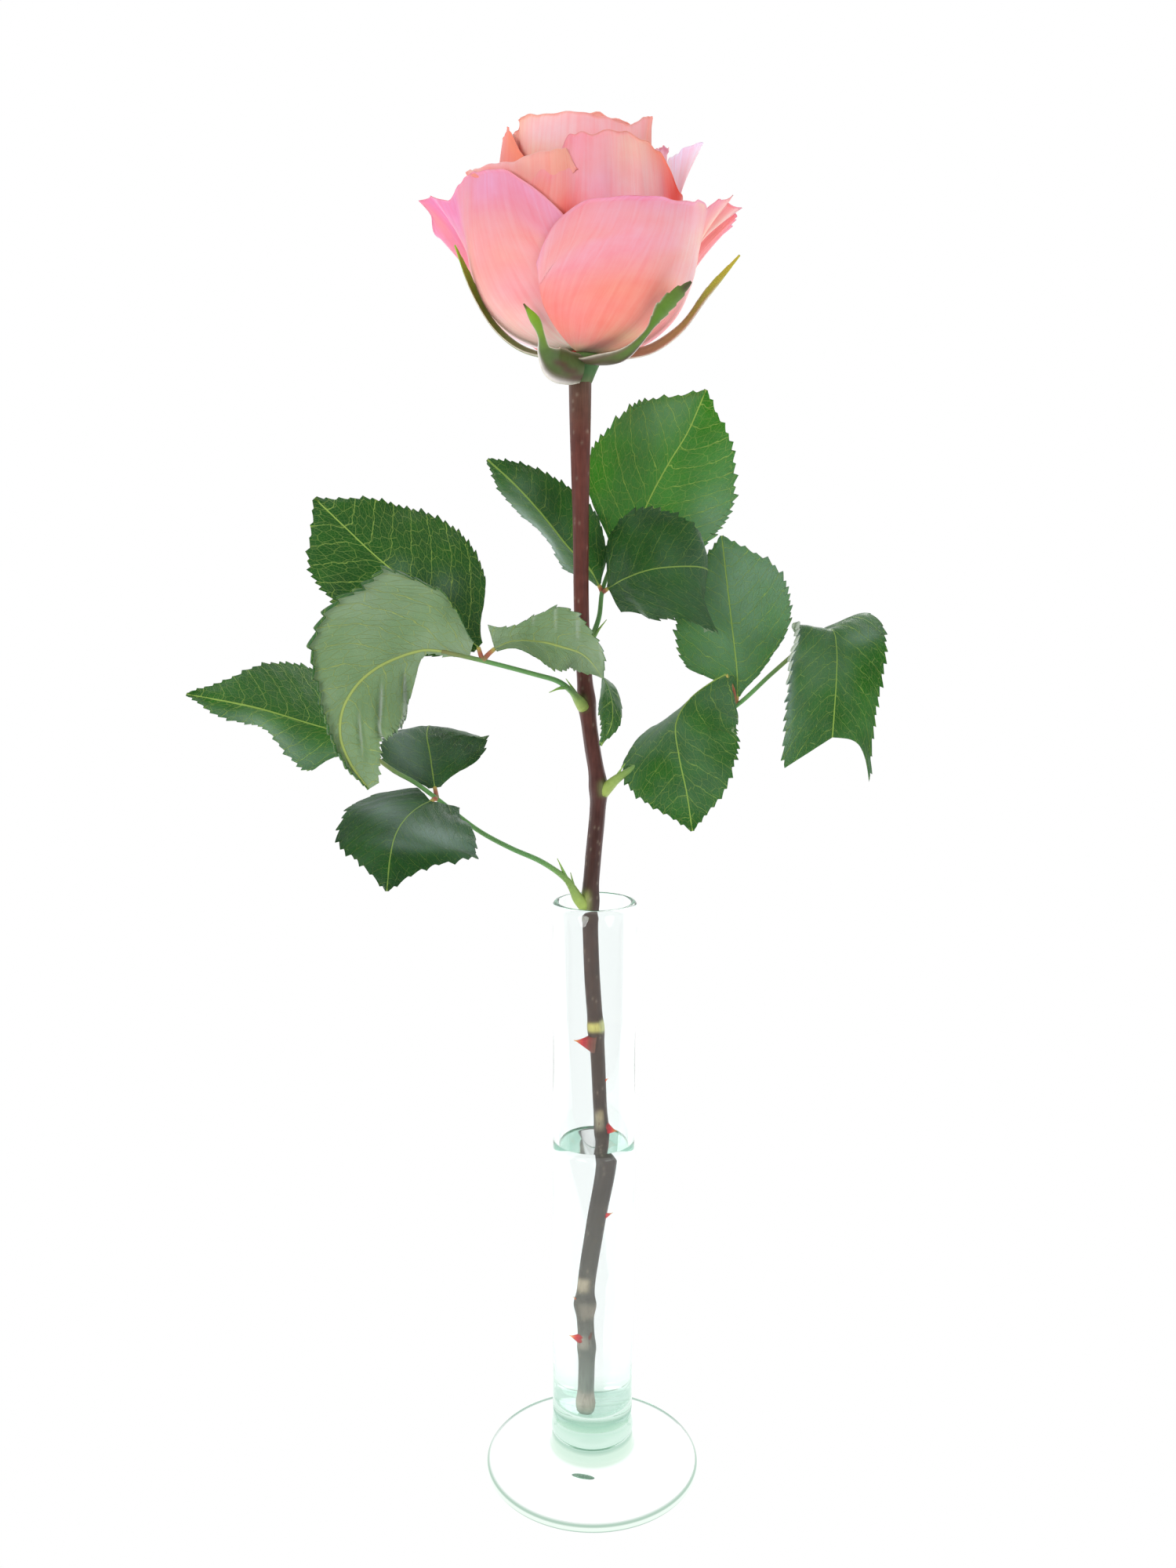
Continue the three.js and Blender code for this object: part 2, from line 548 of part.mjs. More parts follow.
// One petal. `ring` is its radius at the belly. `rim` lists, from its left side to its right side
// as seen from outside, the azimuth in degrees (0 is the front, 90 the right), the height of its
// edge and how far that edge turns out, which begins `reach` below the edge; `roll` lowers the
// turned edge by so much of that. `lean` closes the petal inward at the top.
function petalSolid({ ring, rim, reach = 13, roll = 0.1, lean = 0, rows = 7, columns = 9, frill = 0 }) {
  const scale = ring / bellyRadius;
  const start = (1 - scale) * nestRise;
  const azimuths = rim.map((station) => station[0]);
  const middle = (azimuths[0] + azimuths[azimuths.length - 1]) / 2;
  const grid = [];
  for (let i = 0; i <= rows; i += 1) {
    const u = i / rows;
    const spread = mix(0.62, 1, rise(u, 0, 0.5));
    const row = [];
    for (let j = 0; j <= columns; j += 1) {
      const v = j / columns;
      const edge = along(rim.map((station) => station[1]), v) - start;
      const out = along(rim.map((station) => station[2]), v);
      const azimuth = radians(mix(middle, along(azimuths, v), spread));
      const atRim = cupPosition(edge);
      const shared = Math.min(u * 0.78, atRim);
      const point = cup.getPointAt(mix(shared, atRim * u, rise(u, 0.3, 1)));
      const turned = Math.max(0, 1 - (edge - point.z) / reach) ** 1.4;
      const wave = frill * Math.sin(j * 2.3 + ring) * rise(u, 0.8, 1);
      const radius = Math.max(point.x * scale + out * turned - lean * rise(u, 0.3, 1) + wave, 0.4);
      const height = bloomBase + start + point.z - out * roll * turned;
      row.push(new THREE.Vector3(
        bloomCentre[0] + radius * Math.sin(azimuth), bloomCentre[1] - radius * Math.cos(azimuth), height,
      ));
    }
    grid.push(row);
  }
  return bladeSolid(grid);
}

// The petals whose edges are seen from the front, outermost first.
const facePetals = [
  { // right front, over its left neighbour, its right shoulder curled out
    ring: 35.1,
    rim: [[-22, 20, 0], [-12, 29, 0], [4, 35, 0.4], [24, 37, 0.6], [50, 38.5, 1], [74, 41.5, 1.5], [87, 43.5, 12.5],
      [97, 36, 2], [108, 22, -0.5]],
    rows: 9, columns: 12,
  },
  { // left front, its left shoulder drawn out to a point
    ring: 34,
    rim: [[-112, 24, -0.5], [-102, 36, 3], [-93, 45.5, 17], [-82, 45.5, 2.5], [-62, 48.5, 1], [-40, 46.5, 0.6],
      [-14, 35.5, 0], [10, 20, 0]],
    rows: 9, columns: 12,
  },
  { // second layer, right front, with a tall frilled edge
    ring: 31.4,
    rim: [[-10, 28, 0], [-9, 46, 0.4], [0, 54, 0.8], [20, 55, 1],
      [44, 54.5, 1], [60, 50.5, 0.6], [74, 43.5, 0], [86, 33, 0]],
    rows: 8, columns: 10, frill: 0.25,
  },
  { // second layer, left front, its edge rolled out
    ring: 30.1,
    rim: [[-116, 40, 0], [-98, 51, 4], [-70, 51.5, 6.5], [-40, 50.5, 5], [-20, 50.5, 2], [-6, 46, 0], [8, 38, 0]],
    rows: 8, columns: 10, reach: 7, roll: 0.25,
  },
  { // second layer, right, ending in a pale point
    ring: 28.8,
    rim: [[62, 42, 0], [84, 53, 2], [97, 62, 9.5], [112, 54, 3], [146, 44, 0]],
    rows: 7, columns: 9,
  },
  { // third layer, left, showing a narrow strip
    ring: 26.9,
    rim: [[-124, 50, 0], [-106, 59, 0.5], [-84, 62, 0], [-62, 61, 0], [-40, 50, 0]],
    rows: 6, columns: 5,
  },
  { // third layer, front, the highest
    ring: 24.6,
    rim: [[-66, 50, 0], [-60, 62, 2.5], [-30, 63.5, 1.4], [0, 63, 1.4], [34, 62.5, 2], [57, 64.5, 3.5], [70, 52, 0]],
    rows: 7, columns: 8, lean: 0.6, frill: 0.2,
  },
];

// The rest follow a rule: layer by layer, each petal turned on from the one before it.
const layers = [
  { ring: 33.8, from: 92, to: 170, height: 41, out: 2 },
  { ring: 35.1, from: 132, to: 226, height: 43, out: 7 },
  { ring: 32.6, from: 192, to: 272, height: 44, out: 5 },
  { ring: 31.4, from: 124, to: 216, height: 52, out: 5 },
  { ring: 28.6, from: 190, to: 274, height: 55, out: 3 },
  { ring: 26, from: 48, to: 136, height: 58, out: 1 },
  { ring: 27.3, from: 120, to: 214, height: 61, out: 3 },
  { ring: 23.5, from: 178, to: 290, height: 62, out: 2 },
  { ring: 22, from: -50, to: 76, height: 62, out: 1.2, lean: 1.6 },
  { ring: 20.4, from: 60, to: 180, height: 63, out: 1.2, lean: 1.6 },
  { ring: 18.8, from: 164, to: 322, height: 63, out: 1.2, lean: 1.6 },
  { ring: 16.2, from: -20, to: 140, height: 63, out: 0.6, lean: 2.4 },
  { ring: 14, from: 124, to: 290, height: 63, out: 0.6, lean: 2.4 },
  { ring: 11, from: 250, to: 460, height: 63, out: 0.6, lean: 2.4 },
  { ring: 7.8, from: 60, to: 290, height: 62.5, out: 0.4, lean: 2 },
];

function ruledPetal({ ring, from, to, height, out, lean = 0 }) {
  const stations = [[0, -8, 0], [0.18, -1.5, 0.7], [0.5, 0, 1], [0.82, -1.5, 0.7], [1, -8, 0]];
  const rim = stations.map(([part, drop, share]) => [mix(from, to, part), height + drop, out * share]);
  return petalSolid({ ring, rim, lean, rows: 5, columns: 6 });
}

// The petals all spring from a solid receptacle on the hip.
function bloomSolid() {
  const profile = [
    [0, 0], [6.4, 0], [9, 1.2], [10, 4], [9.4, 12], [7, 22], [4, 30], [0, 32],
  ].map(([r, h]) => new THREE.Vector2(r, bloomBase - 0.35 + h));
  const geometry = new THREE.LatheGeometry(profile, 8);
  geometry.rotateX(Math.PI / 2);
  geometry.translate(bloomCentre[0], bloomCentre[1], 0);
  return joined([solidOfGeometry(geometry), ...facePetals.map(petalSolid), ...layers.map(ruledPetal)]);
}

// ---------------------------------------------------------------- the assembly

const group = new THREE.Group();

function add(name, body, colour, settings) {
  const material = new THREE.MeshStandardMaterial({ color: colour, metalness: 0, ...settings });
  const mesh = new THREE.Mesh(geometryOf(body), material);
  mesh.name = name;
  group.add(mesh);
}

add('vase', turned(vaseProfile()), '#c8ebcb', { roughness: 0.05, transparent: true, opacity: 0.4 });
add('water', waterSolid(), '#e6f4f0', { roughness: 0.02, transparent: true, opacity: 0.3 });
add('stem', stemSolid(), '#5a3d38', { roughness: 0.6 });
add('leaf_upper', compoundLeaf(leafUpper), '#347a2c', { roughness: 0.45 });
add('leaf_left', compoundLeaf(leafLeft), '#2f6b2a', { roughness: 0.45 });
add('leaf_right', compoundLeaf(leafRight), '#2f6b2a', { roughness: 0.45 });
add('leaf_lower', compoundLeaf(leafLower), '#2a5f33', { roughness: 0.45 });
add('calyx', calyxSolid(), '#6e8e4e', { roughness: 0.6 });
add('bloom', bloomSolid(), '#f79c97', { roughness: 0.7 });

export default group;
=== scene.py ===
# A cut pink rose in a clear glass bud vase: fine petals, veined leaflets, bark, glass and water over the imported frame.
# Lengths in the settings are millimetres, as on the real thing, and turn into metres when a mesh is made.
from functools import partial

import bpy
import numpy as np
from mathutils import Matrix, Vector


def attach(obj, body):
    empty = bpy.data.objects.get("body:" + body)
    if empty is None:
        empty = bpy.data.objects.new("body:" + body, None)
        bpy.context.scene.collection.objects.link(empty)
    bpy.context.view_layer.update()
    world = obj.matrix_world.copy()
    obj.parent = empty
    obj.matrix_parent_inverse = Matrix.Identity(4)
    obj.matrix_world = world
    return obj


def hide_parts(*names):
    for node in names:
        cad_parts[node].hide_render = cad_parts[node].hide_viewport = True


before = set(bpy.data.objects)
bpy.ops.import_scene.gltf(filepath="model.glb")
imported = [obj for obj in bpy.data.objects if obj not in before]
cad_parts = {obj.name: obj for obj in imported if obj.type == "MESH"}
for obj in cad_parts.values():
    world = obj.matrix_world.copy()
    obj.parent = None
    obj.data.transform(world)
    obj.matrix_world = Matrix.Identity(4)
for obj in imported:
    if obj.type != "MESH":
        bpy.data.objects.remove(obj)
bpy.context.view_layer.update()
mm = 0.001
draw = np.random.default_rng(21)


# ---- colours and nodes

def linear(hexColour):
    # sRGB hex to linear light, channel by channel, with an alpha of 1
    c = np.array([int(hexColour[i:i + 2], 16) for i in (1, 3, 5)]) / 255
    return (*np.where(c <= 0.04045, c / 12.92, ((c + 0.055) / 1.055) ** 2.4), 1.0)


def addNode(tree, kind, feeds=None, **settings):
    # one node: settings are its properties, feeds its sockets' values, or the sockets linked to them;
    # a node among the feeds stands for its first output in use
    node = tree.nodes.new("ShaderNode" + kind)
    for name, value in settings.items():
        setattr(node, name, value)
    for name, value in (feeds or {}).items():
        if isinstance(value, bpy.types.Node):
            value = next(socket for socket in value.outputs if socket.enabled)
        if isinstance(value, bpy.types.NodeSocket):
            tree.links.new(value, node.inputs[name])
        else:
            node.inputs[name].default_value = value
    return node


def newMaterial(name):
    # an empty material, and the call that adds a node to it
    material = bpy.data.materials.new(name)
    material.use_nodes = True
    material.node_tree.nodes.clear()
    return material, partial(addNode, material.node_tree)


# ---- curves and grids

def along(stations, t):
    # a value or colour that passes through evenly spread stations by a Catmull-Rom spline, t from 0 to 1
    s = np.asarray(stations, float)
    last = len(s) - 1
    x = np.clip(t, 0, 1) * last
    i = np.minimum(x.astype(int), last - 1)
    f = (x - i).reshape(x.shape + (1,) * (s.ndim - 1))
    a, b, c, d = (s[np.clip(i + step, 0, last)] for step in (-1, 0, 1, 2))
    return b + 0.5 * f * (c - a + f * (2 * a - 5 * b + 4 * c - d + f * (3 * (b - c) + d - a)))


def smooth(x, low, high):
    # 0 below low, 1 above high, an S-shaped rise between
    t = np.clip((x - low) / (high - low), 0, 1)
    return t * t * (3 - 2 * t)


def unit(v):
    # vectors shortened or stretched to length 1
    return v / np.maximum(np.linalg.norm(v, axis=-1, keepdims=True), 1e-9)


def shadesAlong(shades, t):
    # colours that pass evenly through a row of hex shades
    return along([linear(one)[:3] for one in shades], t)


def laid(tint, shade, share):
    # a hex shade laid over colours by a share from 0 to 1
    return tint + (np.array(linear(shade)[:3]) - tint) * share[..., None]


def opaque(tint):
    # colours with an alpha of 1, one row for each point
    return np.concatenate([tint, np.ones(tint.shape[:-1] + (1,))], -1).reshape(-1, 4)


def withEnds(rows):
    # a tube's values, then those of the middles of its first and last rings
    return np.concatenate([rows, rows[:1], rows[-1:]])


def pathThrough(points, t):
    # centripetal Catmull-Rom curve through points, read at t = share of its length: places, tangents, length
    p = np.asarray(points, float)
    p = np.vstack([2 * p[0] - p[1], p, 2 * p[-1] - p[-2]])
    d = np.sqrt(np.linalg.norm(np.diff(p, axis=0), axis=1))[:, None]
    f = np.linspace(0, 1, 60)[:, None, None]
    a, b, c, e = p[:-3], p[1:-2], p[2:-1], p[3:]
    d0, d1, d2 = d[:-2], d[1:-1], d[2:]
    m1 = ((b - a) / d0 - (c - a) / (d0 + d1) + (c - b) / d1) * d1
    m2 = ((c - b) / d1 - (e - b) / (d1 + d2) + (e - c) / d2) * d1
    dense = b + f * m1 + f**2 * (3 * (c - b) - 2 * m1 - m2) + f**3 * (2 * (b - c) + m1 + m2)
    dense = dense.transpose(1, 0, 2).reshape(-1, p.shape[1])
    run = np.concatenate([[0], np.cumsum(np.linalg.norm(np.diff(dense, axis=0), axis=1))])
    keep = np.concatenate([[True], np.diff(run) > 1e-9])
    dense, run = dense[keep], run[keep]
    place = np.stack([np.interp(t * run[-1], run, dense[:, k]) for k in range(p.shape[1])], -1)
    slope = np.gradient(dense, run, axis=0)
    tangent = unit(np.stack([np.interp(t * run[-1], run, slope[:, k]) for k in range(p.shape[1])], -1))
    return place, tangent, run[-1]


def quads(rows, columns, closed=False):
    # corners of the squares of a grid; closed joins the last column to the first
    i, j = np.mgrid[0:rows - 1, 0:columns if closed else columns - 1]
    k = (j + 1) % columns
    corners = [i * columns + j, i * columns + k, (i + 1) * columns + k, (i + 1) * columns + j]
    return np.stack(corners, -1).reshape(-1, 4)


def shellOf(grid, thickness, upNormal=None):
    # a thin closed blade: the grid moved half a thickness to each side of itself, and a wall round the edge
    rows, columns = grid.shape[:2]
    normal = unit(np.cross(np.gradient(grid, axis=1), np.gradient(grid, axis=0)))
    if upNormal is not None and np.sum(normal * upNormal) < 0:
        normal = -normal
    half = normal * np.broadcast_to(thickness, (rows, columns))[..., None] / 2
    points = np.concatenate([(grid + half).reshape(-1, 3), (grid - half).reshape(-1, 3)])
    count = rows * columns
    face = quads(rows, columns)
    edge = np.concatenate([
        np.arange(columns), np.arange(1, rows) * columns + columns - 1,
        (rows - 1) * columns + np.arange(columns - 2, -1, -1), np.arange(rows - 2, 0, -1) * columns,
    ])
    wall = np.stack([edge, edge + count, np.roll(edge, -1) + count, np.roll(edge, -1)], -1)
    faces = np.concatenate([face, face[:, ::-1] + count, wall])
    side = np.concatenate([np.zeros(len(face)), np.ones(len(face)), np.zeros(len(wall))]).astype(int)
    return {"points": points, "faces": faces, "side": side}


def ribFrame(s, t):
    # along a rib: its places and tangents, the way its upper side faces, the way across, and its length
    place, tangent, length = pathThrough(s["rib"], t)
    facing = along(s["face"], t)
    up = unit(facing - tangent * np.sum(facing * tangent, -1, keepdims=True))
    return place, tangent, up, np.cross(tangent, up), length


def tubeOf(place, tangent, radius, sides=20, reference=(0.3, 1.0, 0.2)):
    # rings of points round a path, each end closed by a fan to its middle; radius may change round and along
    across = unit(np.asarray(reference) - tangent * np.sum(tangent * np.asarray(reference), -1, keepdims=True))
    other = np.cross(tangent, across)
    angle = np.linspace(0, 2 * np.pi, sides, endpoint=False)
    radius = np.broadcast_to(np.asarray(radius, float).reshape(len(place), -1), (len(place), sides))
    ring = across[:, None] * np.cos(angle)[None, :, None] + other[:, None] * np.sin(angle)[None, :, None]
    grid = place[:, None] + ring * radius[..., None]
    return roundSolid(grid)


def roundSolid(grid):
    # a closed solid from rings: a grid that joins round, and fans to the middles of its first and last rings
    rows, sides = grid.shape[:2]
    points = np.concatenate([grid.reshape(-1, 3), grid[:1].mean(1), grid[-1:].mean(1)])
    first, last = rows * sides, rows * sides + 1
    j = np.arange(sides)
    k = (j + 1) % sides
    fanA = np.stack([np.full(sides, first), k, j], -1)
    fanB = np.stack([np.full(sides, last), (rows - 1) * sides + j, (rows - 1) * sides + k], -1)
    faces = quads(rows, sides, closed=True)
    return {"points": points, "faces": faces, "fans": np.concatenate([fanA, fanB])}


def lathe(profile, sides):
    # a profile of (radius, height) points turned about Z; it starts and ends on the axis
    profile = np.asarray(profile, float)
    angle = np.linspace(0, 2 * np.pi, sides, endpoint=False)
    r, z = profile[1:-1, 0][:, None], profile[1:-1, 1][:, None]
    grid = np.stack([r * np.sin(angle), -r * np.cos(angle), np.broadcast_to(z, (len(r), sides))], -1)
    solid = roundSolid(grid)
    solid["points"][-2:] = [[0, 0, profile[0, 1]], [0, 0, profile[-1, 1]]]
    return solid


def outward(part):
    # turns the faces of a closed part outward, by the sign of its volume
    p = part["points"]
    f = part["faces"]
    corners = np.concatenate([f[:, [0, 1, 2]], f[:, [0, 2, 3]], part.get("fans", np.zeros((0, 3), int))])
    volume = np.sum(p[corners[:, 0]] * np.cross(p[corners[:, 1]], p[corners[:, 2]]))
    if volume < 0:
        part["faces"] = f[:, ::-1]
        if "fans" in part:
            part["fans"] = part["fans"][:, ::-1]
    return part


def makePiece(name, parts, materials, node):
    # one object from closed parts: their points, faces, face materials, maps and attributes, in metres
    start = np.cumsum([0] + [len(part["points"]) for part in parts])
    points = np.concatenate([part["points"] for part in parts]) * mm
    squares = np.concatenate([part["faces"] + at for part, at in zip(parts, start)])
    none = np.zeros((0, 3), int)
    fans = np.concatenate([part.get("fans", none) + at for part, at in zip(parts, start)])
    mesh = bpy.data.meshes.new(name)
    mesh.vertices.add(len(points))
    mesh.vertices.foreach_set("co", points.ravel())
    corners = np.concatenate([squares.ravel(), fans.ravel()])
    sizes = np.concatenate([np.full(len(squares), 4), np.full(len(fans), 3)])
    mesh.loops.add(len(corners))
    mesh.loops.foreach_set("vertex_index", corners)
    mesh.polygons.add(len(sizes))
    mesh.polygons.foreach_set("loop_start", np.cumsum(sizes) - sizes)
    mesh.polygons.foreach_set("use_smooth", np.ones(len(sizes), bool))
    side = [np.broadcast_to(part.get("side", 0), len(part["faces"])) for part in parts]
    fanSide = [np.broadcast_to(np.ravel(part.get("side", 0))[-1], len(part.get("fans", none))) for part in parts]
    mesh.polygons.foreach_set("material_index", np.concatenate(side + fanSide).astype(np.int32))
    for material in materials:
        mesh.materials.append(material)
    if "uv" in parts[0]:
        uv = np.concatenate([part["uv"] for part in parts])
        mesh.uv_layers.new(name="surface").uv.foreach_set("vector", uv[corners].ravel())
    for key in ("tint", "tone"):
        if key in parts[0]:
            kind = "FLOAT_COLOR" if key == "tint" else "FLOAT"
            values = np.concatenate([part[key] for part in parts])
            field = mesh.attributes.new(key, kind, "POINT").data
            field.foreach_set("color" if key == "tint" else "value", values.ravel())
    mesh.update(calc_edges=True)
    mesh.validate()
    piece = bpy.data.objects.new(name, mesh)
    bpy.context.collection.objects.link(piece)
    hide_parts(node)
    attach(piece, "root")
    print(name, len(points), "points")


# ---- glass and water

def glassMaterial(name, ior, colour, absorb=None, density=0.0, thick=()):
    # clear dielectric: sharp gloss and refraction; shadow rays pass, so the lamps reach what stands inside.
    # Where light runs long ways, in the boss and at the foot's rim, its colour turns green, and its darker bands are
    # painted shade for light bent back inside the thick glass: thick lists zones, each with the radii over which it
    # begins and its top, in metres, and shades at heights in mm.
    material, add = newMaterial(name)
    shade = linear(colour)
    if thick:
        place = add("TexCoord")
        axes = add("SeparateXYZ", {"Vector": place.outputs["Object"]})
        flat = add("CombineXYZ", {"X": axes.outputs["X"], "Y": axes.outputs["Y"]})
        far = add("VectorMath", {0: flat}, operation="LENGTH")
    for low, high, top, shades in thick:
        zone = add("MapRange", {"Value": far, "From Min": low, "From Max": high})
        height = add("MapRange", {"Value": axes.outputs["Z"], "From Max": top})
        ramp = add("ValToRGB", {"Fac": height})
        for at, _ in shades[1:-1]:
            ramp.color_ramp.elements.new(at / (top / mm))
        for stop, (at, one) in zip(ramp.color_ramp.elements, shades):
            stop.position, stop.color = at / (top / mm), linear(one)
        shade = add("Mix", {"Factor": zone, "A": shade, "B": ramp}, data_type="RGBA")
    clear = add("BsdfPrincipled", {"Base Color": shade, "Roughness": 0.0, "IOR": ior, "Transmission Weight": 1.0})
    passing = add("BsdfTransparent", {"Color": linear(colour)})
    path = add("LightPath")
    ends = {"Surface": add("MixShader", {"Fac": path.outputs["Is Shadow Ray"], 1: clear, 2: passing})}
    if absorb:
        ends["Volume"] = add("VolumeAbsorption", {"Color": linear(absorb), "Density": density})
    add("OutputMaterial", ends)
    return material


# rim: half sizes of the foot's rounding; seed: a drawn-out bubble's place, half sizes, and turn in degrees;
# zones: where the glass looks green, with painted shade in its darker bands, in the boss and at the foot's edge
vaseSet = {
    "height": 200.0, "tube": 13.55, "wall": 2.05, "foot": 36.4, "rim": (1.6, 1.75),
    "boreFloor": 23.0, "water": 118.5, "sides": 160, "waterSides": 128,
    "seed": ((-3, -15.4, 5.0), (3.9, 1.1, 0.5), -14),
    "zones": [
        (0.0152, 0.0146, 0.03, [
            (0, "#fdffff"), (7.4, "#fdffff"), (8.2, "#d2ead6"), (11.6, "#d2ead6"), (13.0, "#8fb8a2"), (14.4, "#eefaf2"),
            (19, "#dff3e6"), (22.4, "#9cc6b6"), (24.4, "#e4f4ec"), (30, "#fdffff")]),
        (0.035, 0.0358, 0.004, [
            (0, "#47705a"), (1.0, "#5f8c74"), (1.3, "#cfe8d4"), (2.3, "#d8eedd"), (2.7, "#6f957e"), (4, "#86ac94")]),
    ],
}


def vaseProfile(s):
    # foot's underside, rounded rim, shallow cone, boss with a groove, tube, fire-polished lip, bore
    tube, bore, top, base = s["tube"], s["tube"] - s["wall"], s["height"], s["boreFloor"]
    wide, tall = s["rim"]
    turn = np.linspace(-np.pi / 2, np.pi / 2, 9)
    rim = [(s["foot"] - wide + wide * np.cos(a), tall + tall * np.sin(a)) for a in turn]
    cone = [(31, 3.8), (26, 4.4), (21, 5.4), (17.6, 6.3), (15.6, 7.0), (14.6, 7.8)]
    boss = [(14.1, 8.6), (14.0, 9.8), (13.95, 11.2), (13.8, 12.4), (13.5, 13.1), (13.55, 13.6), (13.95, 14.4),
            (14.0, 15.6), (13.8, 17.0), (tube, 18.4)]
    wall = [(tube + 0.06 * np.sin(z * 0.11), z) for z in np.linspace(21, top - 3.4, 34)]
    lip = [(tube + 0.12, top - 2.6), (tube + 0.2, top - 1.7), (tube + 0.1, top - 0.8), (tube - 0.4, top - 0.15),
           (tube - 1.1, top), (bore + 0.4, top - 0.1), (bore - 0.05, top - 0.6), (bore - 0.25, top - 1.4),
           (bore - 0.15, top - 2.4), (bore, top - 4)]
    inside = [(bore + 0.04 * np.sin(z * 0.13), z) for z in np.linspace(top - 8, base + 4, 32)]
    floor = [(bore - 0.35, base + 2.2), (bore - 1.2, base + 0.9), (bore - 2.6, base + 0.25), (bore - 4.6, base),
             (0, base - 0.1)]
    return [(0, 0), *rim, *cone, *boss, *wall, *lip, *inside, *floor]


def waterProfile(s):
    # fills the bore with no gap to the glass; its top is level
    bore = s["tube"] - s["wall"] + 0.06
    base, top = s["boreFloor"] - 0.12, s["water"]
    low = [(0, base), (0.5, base), (bore - 4.5, base), (bore - 2.5, base + 0.3), (bore - 1.1, base + 0.95),
           (bore - 0.3, base + 2.3)]
    side = [(bore, z) for z in np.linspace(base + 4.1, top, 30)]
    return [*low, *side, (bore - 0.01, top), (bore * 0.5, top), (0, top)]


def seedGrain(place, half, turn):
    # a drawn-out seed: an ellipsoid of darker glass caught in the foot, turned a little about the upright
    rise = np.linspace(-1, 1, 15)
    part = lathe([(np.sqrt(max(0, 1 - h * h)), h) for h in rise], 20)
    x, y, z = (part["points"] * half).T
    a = np.radians(turn)
    part["points"] = np.stack([x * np.cos(a) - y * np.sin(a), x * np.sin(a) + y * np.cos(a), z], -1) + place
    part["side"] = 1
    return outward(part)


# soda-lime glass, pressed foot and drawn tube: clear, green where light runs far through it
glass = glassMaterial("sodaLimeGlass", 1.52, "#fdffff", "#96d4bc", 15.0, vaseSet["zones"])
# a seed of dense glass left by the melt: a small dark fleck in the foot
seedGlass = glassMaterial("seedGlass", 1.3, "#8fae9a", "#2f5a44", 500.0)
# still tap water: colourless, it bends what stands in it
water = glassMaterial("stillWater", 1.333, "#ffffff")
makePiece("vaseGlass", [outward(lathe(vaseProfile(vaseSet), vaseSet["sides"])), seedGrain(*vaseSet["seed"])],
          [glass, seedGlass], "vase")
makePiece("vaseWater", [outward(lathe(waterProfile(vaseSet), vaseSet["waterSides"]))], [water], "water")


# ---- stem

stemSet = {
    "line": [
        (-2, -4.9, 23.3), (-1.6, -2.9, 45), (-1.9, -1.5, 65), (0.6, 1, 90), (2.9, 3.2, 112), (2, 5, 131),
        (1.1, 6, 148), (-0.9, 7.4, 174), (-1.5, 7.8, 198), (-0.6, 8.1, 212), (0.8, 8, 228), (1, 7.8, 236),
        (-1.2, 7.2, 250), (-3, 6.8, 264), (-4.6, 6.4, 288), (-5, 6.1, 320), (-5.2, 6, 345), (-5.3, 6, 363.2),
    ],
    "radii": [2.1, 2.15, 2.3, 2.65, 2.6, 2.5, 2.45, 3.5],
    "nodes": [(27, 0.55, 3), (47, 0.35, 3), (62, 0.75, 3.2), (120, 0.35, 4), (155, 0.45, 3), (198, 0.5, 4),
              (236, 0.6, 4), (264, 0.55, 4), (281, 0.25, 4)],
    # colour of the bark, from the cut end up
    "bark": [(23, "#6c736a"), (60, "#4f4c44"), (100, "#372f29"), (150, "#3e2f28"), (196, "#3d2a24"), (230, "#452823"),
             (300, "#5a2f28"), (345, "#5e3128"), (364, "#5c4436")],
    # patches: height, azimuth in degrees from the front, half height, half width in degrees, colour, strength
    "patches": [(156, 10, 1.6, 100, "#b9ae62", 0.9), (156, 70, 2.2, 40, "#a9ad7c", 0.8),
                (124, -20, 3, 40, "#978c74", 0.7), (126, 0, 1.8, 25, "#8c7d5e", 0.6),
                (69, -40, 2.4, 60, "#a99b84", 0.7), (60, 30, 3, 80, "#8a7f70", 0.5), (49, -60, 2.4, 70, "#a39a8a", 0.6),
                (28, 20, 3.4, 180, "#9b8f81", 0.7), (264, -60, 2.6, 60, "#7d8f52", 0.8),
                (236, 60, 2.6, 60, "#6f7f4c", 0.7), (198.5, -60, 3.4, 60, "#8f9a58", 0.85),
                (281, 150, 2, 60, "#7d8f52", 0.6)],
    "thorns": [
        {"from": (0.2, 5.6, 150.4), "to": (-6.9, 4.4, 151.5), "radius": 3.6},
        {"from": (2.6, 4.2, 121.6), "to": (8.0, 1.6, 121.0), "radius": 3.4},
        {"from": (-1.4, -2.6, 50.1), "to": (-6.4, -4.2, 51.4), "radius": 3.2},
        {"from": (-1.8, -1.3, 62.3), "to": (-5.2, -2.8, 65), "radius": 2.0},
        {"from": (1.7, 5.4, 136.3), "to": (4.9, 4.4, 138.2), "radius": 1.8},
        {"from": (1.4, 1.2, 92.8), "to": (4.7, 0.2, 94), "radius": 1.9},
    ],
    "foot": 23.3, "top": 362.6, "sides": 56, "rings": 720, "lenticels": 220, "lenticelRun": 339,
}


